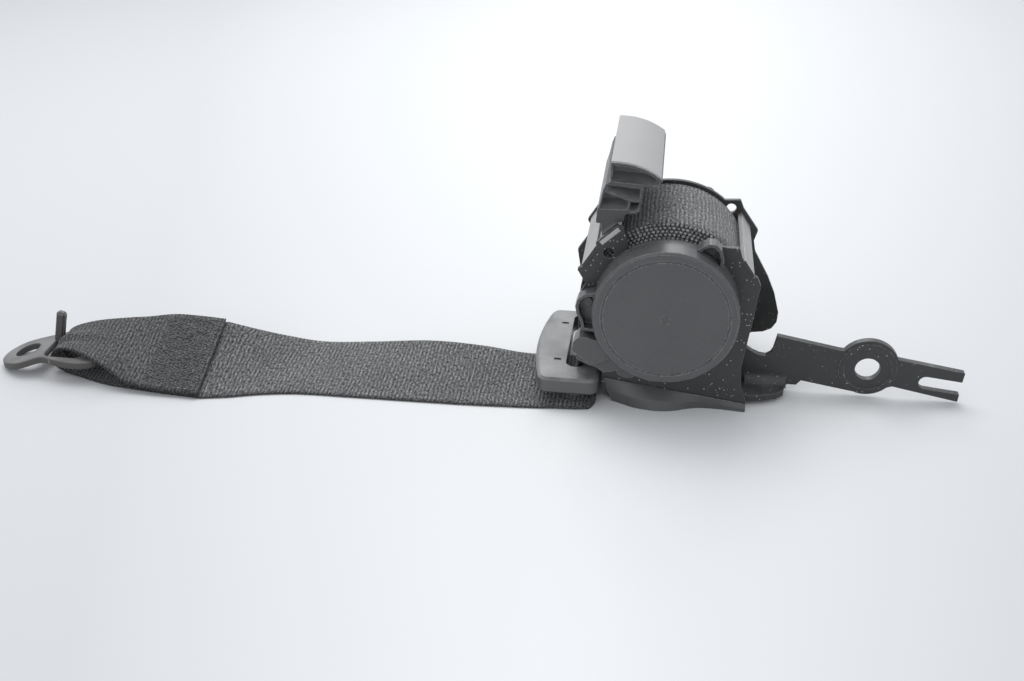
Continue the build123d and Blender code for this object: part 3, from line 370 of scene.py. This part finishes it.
def strip_mesh(name, rows, thickness, width):
    """A closed thin strip over a grid of rows, with rounded edges and a UV in metres."""
    normals = row_normals(rows)
    points, uvs, faces = [], [], []
    across = len(rows[0]) - 1
    half = thickness / 2
    run_v = 0.0
    for i, row in enumerate(rows):
        if i:
            run_v += (row[across // 2] - rows[i - 1][across // 2]).length / MM
        ring, flat = [], []
        for j, point in enumerate(row):
            ring.append(point + normals[i][j] * half)
            flat.append((j / across * width, run_v))
        out = (row[-1] - row[-2]).normalized() * half
        ring.append(row[-1] + out)
        flat.append((width + half / MM, run_v))
        for j in range(across, -1, -1):
            ring.append(row[j] - normals[i][j] * half)
            flat.append((j / across * width + UNDERSIDE_SHIFT, run_v + UNDERSIDE_SHIFT))
        out = (row[0] - row[1]).normalized() * half
        ring.append(row[0] + out)
        flat.append((-half / MM, run_v))
        points += [at(*p) for p in ring]
        uvs += flat
    size = 2 * across + 4
    for i in range(len(rows) - 1):
        for j in range(size):
            k = (j + 1) % size
            faces.append((i * size + j, i * size + k, (i + 1) * size + k, (i + 1) * size + j))
    last = (len(rows) - 1) * size
    for j in range(across + 1):
        a, b = j, (size - 2 - j)
        if j < across:
            faces.append((a, b, b - 1, a + 1))
            faces.append((last + a + 1, last + b - 1, last + b, last + a))
    faces.append((0, size - 1, size - 2))
    faces.append((last + size - 2, last + size - 1, last))
    faces.append((across, across + 2, across + 1))
    faces.append((last + across + 1, last + across + 2, last + across))
    mesh = bpy.data.meshes.new(name)
    mesh.from_pydata(points, [], faces)
    layer = mesh.uv_layers.new(name="web")
    for loop in mesh.loops:
        layer.data[loop.index].uv = uvs[loop.vertex_index]
    mesh.polygons.foreach_set("use_smooth", [True] * len(mesh.polygons))
    mesh.validate()
    return mesh


def show(name, mesh, material):
    """A new object of the scene from a mesh."""
    piece = bpy.data.objects.new(name, mesh)
    bpy.context.scene.collection.objects.link(piece)
    if material:
        piece.data.materials.clear()
        piece.data.materials.append(material)
    return piece


def through_tree(name, mesh, tree, values, material):
    """Runs a mesh through a geometry tree and keeps the result as a plain mesh object."""
    piece = show(name, mesh, None)
    modifier = piece.modifiers.new("build", "NODES")
    modifier.node_group = tree
    for item in tree.interface.items_tree:
        if item.item_type == "SOCKET" and item.in_out == "INPUT" and item.name in values:
            modifier[item.identifier] = values[item.name]
    graph = bpy.context.evaluated_depsgraph_get()
    graph.update()
    made = bpy.data.meshes.new_from_object(piece.evaluated_get(graph), depsgraph=graph)
    piece.modifiers.remove(modifier)
    piece.data = made
    made.materials.clear()
    made.materials.append(material)
    made.polygons.foreach_set("use_smooth", [True] * len(made.polygons))
    return piece


def new_tree(name, inputs):
    """An empty geometry tree with named inputs."""
    tree = bpy.data.node_groups.new(name, "GeometryNodeTree")
    tree.interface.new_socket("Geometry", in_out="INPUT", socket_type="NodeSocketGeometry")
    for label, kind, default in inputs:
        socket = tree.interface.new_socket(label, in_out="INPUT", socket_type=kind)
        if default is not None:
            socket.default_value = default
    tree.interface.new_socket("Geometry", in_out="OUTPUT", socket_type="NodeSocketGeometry")
    return tree, put(tree, "NodeGroupInput"), put(tree, "NodeGroupOutput")


def finish_tree(tree, shape, material, end):
    """Makes the instances real, gives them their material and joins them to the tree's output."""
    real = put(tree, "GeometryNodeRealizeInstances", {0: shape})
    dyed = put(tree, "GeometryNodeSetMaterial", {0: real.outputs[0], "Material": material})
    tree.links.new(dyed.outputs[0], end.inputs[0])


def thread_tree():
    """Round thread along every edge of the input mesh."""
    tree, start, end = new_tree("thread", [("Radius", "NodeSocketFloat", 0.0003), ("Sides", "NodeSocketInt", 5),
                                           ("Material", "NodeSocketMaterial", None)])
    given = start.outputs
    line = put(tree, "GeometryNodeMeshToCurve", {0: given["Geometry"]}).outputs[0]
    circle = {"Resolution": given["Sides"], "Radius": given["Radius"]}
    ring = put(tree, "GeometryNodeCurvePrimitiveCircle", circle).outputs[0]
    tube = put(tree, "GeometryNodeCurveToMesh", {"Curve": line, "Profile Curve": ring, "Fill Caps": True})
    finish_tree(tree, tube.outputs[0], given["Material"], end)
    return tree


def bead_tree():
    """One squashed bead at every point of the input mesh, turned to its normal."""
    tree, start, end = new_tree("edge_beads", [("Size", "NodeSocketVector", (0.0006, 0.0006, 0.0006)),
                                               ("Uneven", "NodeSocketFloat", 0.25), ("Seed", "NodeSocketInt", SEED),
                                               ("Material", "NodeSocketMaterial", None)])
    given = start.outputs
    spots = put(tree, "GeometryNodeMeshToPoints", {0: given["Geometry"]})
    bead = put(tree, "GeometryNodeMeshUVSphere", {"Segments": 7, "Rings": 4, "Radius": 1.0})
    normal = put(tree, "GeometryNodeInputNamedAttribute", {"Name": "outward"}, data_type="FLOAT_VECTOR")
    turn = put(tree, "FunctionNodeAlignRotationToVector", {"Vector": normal.outputs[0]}, axis="X")
    low = maths(tree, "SUBTRACT", 1.0, given["Uneven"])
    high = maths(tree, "ADD", 1.0, given["Uneven"])
    chance = put(tree, "FunctionNodeRandomValue", {2: low, 3: high, "Seed": given["Seed"]})
    size = put(tree, "ShaderNodeVectorMath", {0: given["Size"], 3: chance.outputs[1]}, operation="SCALE")
    placed = put(tree, "GeometryNodeInstanceOnPoints", {"Points": spots.outputs[0], "Instance": bead.outputs[0],
                                                        "Rotation": turn.outputs[0], "Scale": size.outputs[0]})
    finish_tree(tree, placed.outputs[0], given["Material"], end)
    return tree


def points_mesh(name, points, outward=None, edges=()):
    """A mesh of bare points and edges, with an outward direction at each point if given."""
    mesh = bpy.data.meshes.new(name)
    mesh.from_pydata([tuple(p) for p in points], list(edges), [])
    if outward:
        layer = mesh.attributes.new("outward", "FLOAT_VECTOR", "POINT")
        layer.data.foreach_set("vector", [c for v in outward for c in v])
    return mesh


# Where the webbing runs: pairs of edge points, near edge first

def drop_stations(width, thickness):
    """From the roll down through the tongue and round the fold beneath it."""
    half = thickness / 2
    track = ROLL_R + 0.35 + half
    reach = math.hypot(SLOT_X, SPOOL_Z - TONGUE_HIGH_Z)
    lean = math.atan2(TONGUE_HIGH_Z - SPOOL_Z, SLOT_X) - math.acos(track / reach)
    path = []
    for back in (14, 7, 0):
        turn = lean - math.radians(back)
        path.append((track * math.cos(turn), SPOOL_Z + track * math.sin(turn)))
    path += [(SLOT_X, TONGUE_HIGH_Z), (SLOT_X, TONGUE_LOW_Z - 0.6), (SLOT_X + 2.4, half + 2 * FOLD_R + 0.1)]
    for degrees in (90, 60, 30, 0, -30, -60, -90):
        turn = math.radians(degrees)
        path.append((FOLD_X + FOLD_R * math.cos(turn), half + FOLD_R + FOLD_R * math.sin(turn)))
    shift = (WEB_NEAR_Y - DROP_END_Y) / 8
    near = [WEB_NEAR_Y] * 6 + [WEB_NEAR_Y - shift * i for i in range(1, 8)]
    return [((x, y, z), (x, y + width, z)) for (x, z), y in zip(path, near)]


def strand_stations(width, thickness):
    """Out along the floor; each entry is x, near edge y and the lift of the far edge."""
    half = thickness / 2
    lifts = [(DROP_END_X, DROP_END_Y, 0.0), (-53, -11.5, 0.0), (-66, -12.4, 0.6), (-85, -13.4, 3.5), (-110, -14.0, 4.8),
             (-140, -14.5, 2.0), (-165, -15.3, 0.6), (-182, -18.5, 4.5), (-195, -22.5, 9.8)]
    return [((x, y, half), (x, y + math.sqrt(width**2 - lift**2), half + lift)) for x, y, lift in lifts]


def loop_stations(thickness):
    """On along the floor, up through the anchor's slot and back over its bar to the seam."""
    half = thickness / 2
    ply = thickness + 0.3
    return [
        ((-207, -25, half), (-207, 17.9, half + 15.5)),
        ((-235, -22.5, half), (-235, 16, half + 11)),
        ((-255, -19.5, half), (-255, 9.5, 2.6)),
        ((-270, -15, 1.2), (-270, 5.5, 1.6)),
        ((-278.5, -13, 2.6), (-278.5, 3.6, 2.8)),
        ((-283, -12.2, 6.6), (-283, 3.2, 7.6)),
        ((-280, -12.6, 12.2), (-280, 3.8, 14.4)),
        ((-270, -14.4, 13.4), (-270, 6.5, 17.8)),
        ((-252, -21, 9.6), (-252, 12.5, 18.2)),
        ((-245, -23.3, 5.6), (-245, 14.5, 18.1)),
        ((-232, -24.7, 3.4), (-232, 17, 19.0)),
        ((-208, -25.4, half + ply + 0.4), (-208, 17.4, half + 15.5 + ply + 0.4)),
    ]


class BeltSizes(bpy.types.PropertyGroup):
    """Sizes and tones of the belt's soft parts and finishes."""

    web_width: bpy.props.FloatProperty(
        name="Webbing width", description="Width of the webbing", default=0.0465, unit="LENGTH")
    web_thickness: bpy.props.FloatProperty(
        name="Webbing thickness", description="Thickness of one ply", default=0.0012, unit="LENGTH")
    web_tone: bpy.props.FloatProperty(
        name="Webbing tone", description="Grey of the woven webbing", default=0.105, min=0, max=1)
    thread_radius: bpy.props.FloatProperty(
        name="Thread radius", description="Radius of the seam's thread", default=0.00035, unit="LENGTH")
    bead_pitch: bpy.props.FloatProperty(
        name="Edge bead pitch", description="Spacing of the beads along a woven edge", default=0.0019, unit="LENGTH")
    plastic_tone: bpy.props.FloatProperty(
        name="Plastic tone", description="Grey of the moulded covers", default=0.075, min=0, max=1)
    paint_tone: bpy.props.FloatProperty(
        name="Paint tone", description="Grey of the painted steel", default=0.033, min=0, max=1)
    tongue_tone: bpy.props.FloatProperty(
        name="Tongue tone", description="Grey of the tongue's grip", default=0.09, min=0, max=1)
    light: bpy.props.FloatProperty(
        name="Lamp strength", description="Power of the overhead lamp", default=6.0, min=0)


def sizes():
    """The sizes and tones set in the sidebar."""
    return bpy.context.scene.belt_sizes


class BELT_OT_stage(bpy.types.Operator):
    """Pale floor, soft light and the camera at the photograph's angle."""

    bl_idname = "belt.stage"
    bl_label = "Stage"

    def execute(self, context):
        scene = context.scene
        scene.view_settings.view_transform = "Standard"
        low_z = at(0, 0, 0).z
        mesh = bpy.data.meshes.new("floor")
        reach = 6.0
        corners = [(-reach, -reach, low_z), (reach, -reach, low_z), (reach, reach, low_z), (-reach, reach, low_z)]
        mesh.from_pydata(corners, [], [(0, 1, 2, 3)])
        material, tree, shader = new_surface("floor_paper", 0.9, Specular_IOR_Level=0.15)
        position = put(tree, "ShaderNodeTexCoord").outputs["Object"]
        place = put(tree, "ShaderNodeSeparateXYZ", {0: position}).outputs
        # Paler in a band ahead of the camera, darker to the sides: a painted pool of light.
        aside = maths(tree, "ABSOLUTE", maths(tree, "ADD", place[0], 0.12))
        ahead = maths(tree, "ABSOLUTE", maths(tree, "ADD", place[1], 0.46))
        spread = maths(tree, "DIVIDE", aside, maths(tree, "ADD", ahead, 0.25))
        cloudy = maths(tree, "MULTIPLY", noise(tree, position, 2.5), 0.04)
        paler = remap(tree, maths(tree, "ADD", spread, cloudy), 0.04, 0.34, 1.0, 0.0)
        tone = mix_colour(tree, paler, (0.6, 0.605, 0.615, 1), (0.77, 0.775, 0.78, 1))
        tree.links.new(tone, shader.inputs["Base Color"])
        show("floor", mesh, material)

        world = bpy.data.worlds.new("room")
        scene.world = world
        world.use_nodes = True
        room = world.node_tree.nodes["Background"].inputs
        room["Color"].default_value = (0.93, 0.96, 1.0, 1)
        room["Strength"].default_value = 0.82

        for name, energy, size, place, aim in (
            ("overhead", sizes().light, 0.7, (-0.42, 0.35, 1.0), (-0.12, 0.0, 0.0)),
            ("behind", sizes().light * 0.36, 0.5, (-0.1, 1.0, 0.72), (-0.05, 0.0, 0.05)),
            ("front_fill", 1.0, 0.8, (-0.4, -1.1, 0.55), (-0.12, 0.0, 0.02)),
        ):
            lamp = bpy.data.lights.new(name, "AREA")
            lamp.energy = energy
            lamp.size = size
            bulb = bpy.data.objects.new(name, lamp)
            bulb.location = place
            bulb.rotation_euler = (Vector(aim) - Vector(place)).to_track_quat("-Z", "Y").to_euler()
            scene.collection.objects.link(bulb)

        lens = bpy.data.cameras.new("camera")
        lens.sensor_width = 36.0
        lens.lens = 40.43
        lens.clip_start = 0.01
        camera = bpy.data.objects.new("camera", lens)
        camera.location = (-0.0959, -0.4624, 0.2654)
        camera.rotation_euler = (math.radians(60.5), 0, math.radians(8.06))
        scene.collection.objects.link(camera)
        scene.camera = camera
        return {"FINISHED"}


class BELT_OT_finishes(bpy.types.Operator):
    """Paint, plating and moulded plastic on the rigid parts."""

    bl_idname = "belt.finishes"
    bl_label = "Finishes"

    def execute(self, context):
        s = sizes()
        # The dust shares below also paint upward faces paler than the sides, as painted top light, most on the tongue
        # grip and the anchor.
        paint = hard_surface("black_paint", grey(s.paint_tone), 0.4, edge=grey(0.3), dust_and_top_light=0.18, grain=0.25,
                             speck_share=0.75, spread=0.25)
        anchor = hard_surface("anchor_coat", grey(0.065, 0.05), 0.5, edge=grey(0.2, 0.04), dust_and_top_light=0.4, grain=0.35,
                              grain_size=0.0008, spread=0.3)
        plating, tie = (hard_surface(name, grey(0.42, 0.02), 0.42, PLATED_METALLIC, edge=grey(0.6), dust_and_top_light=0.1, grain=0.2,
                                     spread=0.2) for name in ("zinc_plating", "tie_plating"))
        paint_ends(tie, grey(s.paint_tone))
        bright = hard_surface("bright_plating", grey(0.6), 0.22, 1.0, grain=0.05)
        cast = hard_surface("cast_alloy", grey(0.4), 0.5, 0.7, grain=0.4)
        pale = hard_surface("natural_nylon", grey(0.6, 0.03), 0.45, grain=0.1)
        slip = hard_surface("slip_strip", grey(0.35, 0.005), 0.6, edge=grey(0.7), grain=0.08, spread=0.05,
                            speck_share=0.1)
        plastic = hard_surface("grained_plastic", grey(s.plastic_tone, -0.03), 0.3, edge=grey(0.36), dust_and_top_light=0.06,
                               grain=0.3, edge_radius=0.0006)
        guide = hard_surface("guide_plastic", grey(s.plastic_tone * 0.75), 0.35, edge=grey(0.4), grain=0.2,
                             edge_radius=0.0006)
        # The guide's cells are painted paler inside: painted light.
        paint_light_in_recesses(guide, grey(0.4), 0.009)
        grip = hard_surface("tongue_grip", grey(s.tongue_tone), 0.35, edge=grey(0.3), dust_and_top_light=0.55, grain=0.08,
                            spread=0.06)
        by_finish = {
            paint: ("frame", "mounting_strap"),
            anchor: ("anchor_plate",),
            tie: ("tie_plate_left", "tie_plate_right"),
            plating: ("tie_plate_upper", "torsion_bar", "lock_ratchet", "lock_pawl", "pawl_pin", "lever_pin",
                      "cover_screws", "strap_rivets", "return_spring"),
            bright: ("tongue_plate", "sensor_ball"),
            cast: ("spool",),
            pale: ("bush_near", "bush_far", "spring_arbor", "control_disc", "sensor_housing", "sensor_lever"),
            slip: ("guide_cap",),
            plastic: ("spring_cover_base", "spring_cover_cap", "cover_rivets", "lower_shroud", "edge_guard",
                      "mechanism_cover"),
            guide: ("web_guide",),
            grip: ("tongue_body",),
        }
        for material, names in by_finish.items():
            for name in names:
                for place in NODES[name].material_slots:
                    place.material = material
        return {"FINISHED"}


def ring_points(x, y, radius, count):
    """A circle, as points."""
    turns = [2 * math.pi * i / count for i in range(count)]
    return [(x + radius * math.cos(turn), y + radius * math.sin(turn)) for turn in turns]


def slot_points(x, y, half_l, half_w, corner):
    """A rectangle with round corners, as points."""
    points = []
    for side_x, side_y, first in ((1, 1, 0), (-1, 1, 90), (-1, -1, 180), (1, -1, 270)):
        for step in range(7):
            turn = math.radians(first + 15 * step)
            points.append((x + side_x * (half_l - corner) + corner * math.cos(turn),
                           y + side_y * (half_w - corner) + corner * math.sin(turn)))
    return points


def rounded_loop(corners, step=1.2):
    """A closed smooth line through corner points in the plane."""
    ring = [Vector((x, y, 0)) for x, y in corners]
    points = []
    for i in range(len(ring)):
        before, start, end, after = (ring[(i + k) % len(ring)] for k in (-1, 0, 1, 2))
        count = max(2, math.ceil((end - start).length / step))
        points += [curve_point(before, start, end, after, j / count) for j in range(count)]
    return [(p.x, p.y) for p in points]


class BELT_OT_anchor(bpy.types.Operator):
    """The forged anchor: pear-shaped, joggled between its eye and its slotted end, with an upright tab."""

    bl_idname = "belt.anchor"
    bl_label = "Anchor"

    def execute(self, context):
        profile = bpy.data.curves.new("anchor_profile", "CURVE")
        profile.dimensions = "2D"
        profile.fill_mode = "BOTH"
        profile.extrude = ANCHOR_T / 2 - ANCHOR_ROUND
        profile.bevel_depth = ANCHOR_ROUND
        profile.bevel_resolution = 2
        profile.offset = -ANCHOR_ROUND
        eye = ring_points(EYE_X, EYE_Y, EYE_R, 40)
        slot = slot_points(BAR_SLOT_X, EYE_Y, BAR_SLOT_HALF_L, BAR_SLOT_HALF_W, BAR_SLOT_CORNER)
        for points in (rounded_loop(ANCHOR_OUTLINE), eye, slot):
            line = profile.splines.new("POLY")
            line.points.add(len(points) - 1)
            line.use_cyclic_u = True
            for spot, (x, y) in zip(line.points, points):
                spot.co = (x, y, 0, 1)
        drawn = bpy.data.objects.new("anchor_profile", profile)
        context.scene.collection.objects.link(drawn)
        graph = context.evaluated_depsgraph_get()
        mesh = bpy.data.meshes.new_from_object(drawn.evaluated_get(graph), depsgraph=graph)
        bpy.data.objects.remove(drawn)
        mesh.name = "forged_anchor"
        form = bmesh.new()
        form.from_mesh(mesh)
        bmesh.ops.remove_doubles(form, verts=form.verts, dist=0.001)
        for k in range(-BEND_HALF, BEND_HALF + 1):
            everything = form.verts[:] + form.edges[:] + form.faces[:]
            bmesh.ops.bisect_plane(form, geom=everything, plane_co=(BEND_X + k, 0, 0), plane_no=(1, 0, 0))
        slope = math.tan(math.radians(ANCHOR_TILT))
        for vertex in form.verts:
            before = BEND_X - vertex.co.x
            if abs(before) > BEND_HALF:
                softened = max(0.0, before)
            else:
                softened = (before + BEND_HALF) ** 2 / (4 * BEND_HALF)
            vertex.co.z += ANCHOR_T / 2 + LEVEL_Z - softened * slope
        tab = bmesh.ops.create_cube(form, size=1.0)["verts"]
        place = Matrix.Translation(TAB_FOOT) @ Matrix.Rotation(math.radians(TAB_LEAN), 4, "Y")
        for vertex in tab:
            x, y, z = vertex.co
            vertex.co = place @ Vector((x * TAB_W, y * ANCHOR_T, (z + 0.5) * TAB_H))
        edges = {edge for vertex in tab for edge in vertex.link_edges}
        bmesh.ops.bevel(form, geom=list(edges), offset=TAB_ROUND, segments=3, affect="EDGES")
        for vertex in form.verts:
            vertex.co = at(*vertex.co)
        form.to_mesh(mesh)
        form.free()
        forged = show("forged_anchor", mesh, NODES["anchor_plate"].material_slots[0].material)
        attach(forged, "anchor")
        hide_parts("anchor_plate")
        return {"FINISHED"}


class BELT_OT_wound_webbing(bpy.types.Operator):
    """The wound webbing as one spiral, with the beads of its woven edges."""

    bl_idname = "belt.wound_webbing"
    bl_label = "Wound webbing"

    def execute(self, context):
        s = sizes()
        width, thick = s.web_width * MM, s.web_thickness * MM
        outer_r = ROLL_R - thick / 2
        count = int(ROLL_TURNS * STEPS_PER_TURN)
        outer_end = math.radians(205)
        run = []
        for i in range(count + 1):
            share = i / count
            radius = CORE_R + (outer_r - CORE_R) * share
            turn = outer_end - 2 * math.pi * ROLL_TURNS * (1 - share)
            sway = 0.25 * math.sin(7.3 * share * ROLL_TURNS) + 0.15 * math.sin(2.1 * share * ROLL_TURNS)
            x, z = radius * math.cos(turn), SPOOL_Z + radius * math.sin(turn)
            stepped = max(0.0, share * ROLL_TURNS - ROLL_TURNS + STEPPED_TURNS) / STEPPED_TURNS
            near_y = WEB_NEAR_Y - 0.7 * min(1.0, share * 3) + 3.4 * stepped + sway * 0.3
            far_y = WEB_NEAR_Y + width - 0.3 + 1.3 * stepped + sway * 0.3
            run.append((Vector((x, near_y, z)), Vector((x, far_y, z))))
        rows = strip_rows(run, 6)
        # A lighter copy of the webbing's tone: painted light on the roll.
        cloth = woven_surface("wound_weave", s.web_tone * 1.15)
        wound = show("wound_webbing", strip_mesh("wound_webbing", rows, thick, s.web_width), cloth)
        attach(wound, "spool")
        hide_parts("webbing_roll")

        spots, outward = [], []
        length = 0.0
        for i in range(count - int(BEADED_TURNS * STEPS_PER_TURN), count):
            a, b = run[i], run[i + 1]
            step = (b[0] - a[0]).length
            while length <= step:
                for side, way in ((0, -0.35), (1, 0.35)):
                    point = a[side].lerp(b[side], length / step) + Vector((0, way, 0))
                    spots.append(at(*point))
                    outward.append(Vector((point.x, 0, point.z - SPOOL_Z)).normalized())
                length += s.bead_pitch * MM
            length -= step
        thread = thread_surface("edge_thread", s.web_tone * 1.8)
        values = {"Size": (0.00062, 0.0008, 0.00068), "Uneven": 0.2, "Seed": SEED, "Material": thread}
        beads = through_tree("wound_edges", points_mesh("wound_edges", spots, outward), bead_tree(), values, thread)
        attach(beads, "spool")
        return {"FINISHED"}


class BELT_OT_running_webbing(bpy.types.Operator):
    """The drop through the tongue and the free strand on the floor."""

    bl_idname = "belt.running_webbing"
    bl_label = "Running webbing"

    def execute(self, context):
        s = sizes()
        width, thick = s.web_width * MM, s.web_thickness * MM
        cloth = woven_surface("belt_weave", s.web_tone)
        drop = drop_stations(width, thick)
        strand = strand_stations(width, thick)
        loop = loop_stations(thick)
        for name, stations, node in (
            ("belt_drop", drop + strand[:1], "webbing_drop"),
            ("belt_strand", strand + loop[:1], "webbing_strand"),
        ):
            run = smooth_run(stations)
            rows = strip_rows(run, 20)
            piece = show(name, strip_mesh(name, rows, thick, s.web_width), cloth)
            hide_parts(node)
            if node == "webbing_drop":
                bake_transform(piece)
            else:
                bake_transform(piece)
        return {"FINISHED"}


class BELT_OT_sewn_loop(bpy.types.Operator):
    """The sewn end round the anchor's bar, bunched in the slot, with its seam of dense stitches."""

    bl_idname = "belt.sewn_loop"
    bl_label = "Sewn loop"

    def execute(self, context):
        s = sizes()
        thick = s.web_thickness * MM
        # A darker copy of the webbing's tone: painted shade on the loop.
        cloth = woven_surface("loop_weave", s.web_tone * 0.66)
        run = smooth_run(loop_stations(thick))

        def crease(share, t, normal):
            bunch = max(0.0, 1 - abs(share - 0.5) / 0.3)
            wave = math.sin(2 * math.pi * (2.0 * t + 0.1)) * 1.1 + math.sin(2 * math.pi * (3.3 * t + 0.45)) * 0.5
            return normal * (wave * bunch * bunch)

        rows = strip_rows(run, LOOP_ACROSS, crease)
        loop = show("belt_loop", strip_mesh("belt_loop", rows, thick, s.web_width), cloth)
        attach(loop, "retractor")
        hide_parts("webbing_loop")

        normals = row_normals(rows)
        points, edges = [], []
        seam_rows = [i for i, row in enumerate(rows)
                     if i > len(rows) * 0.6 and SEAM_START_X < row[LOOP_ACROSS // 2].x < SEAM_END_X]
        first, last = seam_rows[0], seam_rows[-1]
        chance = random.Random(SEED)
        for column in range(SEAM_COLUMNS):
            i_middle = first + (last - first) * (column + 0.5) / SEAM_COLUMNS
            start = len(points)
            for k in range(SEAM_STITCHES):
                t = 0.03 + 0.94 * (k + chance.uniform(-0.35, 0.35)) / (SEAM_STITCHES - 1)
                t = min(0.97, max(0.03, t))
                swing = (last - first) / SEAM_COLUMNS * chance.uniform(0.25, 0.85) * (1 if k % 2 else -1)
                i = min(last, max(first, i_middle + swing))
                row, column_at = int(i), int(t * LOOP_ACROSS)
                past = t * LOOP_ACROSS - column_at
                next_row = min(row + 1, last)
                lower = rows[row][column_at].lerp(rows[row][column_at + 1], past)
                upper = rows[next_row][column_at].lerp(rows[next_row][column_at + 1], past)
                lift = normals[row][column_at] * (thick / 2 + chance.uniform(0.0, 0.25))
                point = lower.lerp(upper, i - row) + lift
                points.append(at(*point))
                if k:
                    edges.append((start + k - 1, start + k))
        thread = thread_surface("seam_thread", s.web_tone * 1.1)
        values = {"Radius": s.thread_radius, "Sides": 5, "Material": thread}
        stitches = points_mesh("seam_stitches", points, edges=edges)
        seam = through_tree("seam_stitches", stitches, thread_tree(), values, thread)
        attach(seam, "retractor")
        return {"FINISHED"}


OPERATORS = (BELT_OT_stage, BELT_OT_finishes, BELT_OT_anchor, BELT_OT_wound_webbing, BELT_OT_running_webbing,
             BELT_OT_sewn_loop)


class BELT_PT_panel(bpy.types.Panel):
    """The belt's pieces in the sidebar."""

    bl_idname = "BELT_PT_panel"
    bl_label = "Seat belt"
    bl_space_type = "VIEW_3D"
    bl_region_type = "UI"
    bl_category = "Seat belt"

    def draw(self, context):
        for name in BeltSizes.__annotations__:
            self.layout.prop(sizes(), name)
        for operator in OPERATORS:
            self.layout.operator(operator.bl_idname)


CLASSES = (BeltSizes, *OPERATORS, BELT_PT_panel)


def register():
    """Adds the belt's operators, sizes and panel."""
    for one in CLASSES:
        bpy.utils.register_class(one)
    bpy.types.Scene.belt_sizes = bpy.props.PointerProperty(type=BeltSizes)


def unregister():
    """Takes them out again."""
    del bpy.types.Scene.belt_sizes
    for one in reversed(CLASSES):
        bpy.utils.unregister_class(one)


def main():
    """Dresses the belt."""
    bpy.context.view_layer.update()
    register()
    bpy.ops.belt.stage()
    bpy.ops.belt.finishes()
    bpy.ops.belt.anchor()
    bpy.ops.belt.wound_webbing()
    bpy.ops.belt.running_webbing()
    bpy.ops.belt.sewn_loop()


if __name__ == "__main__":
    main()
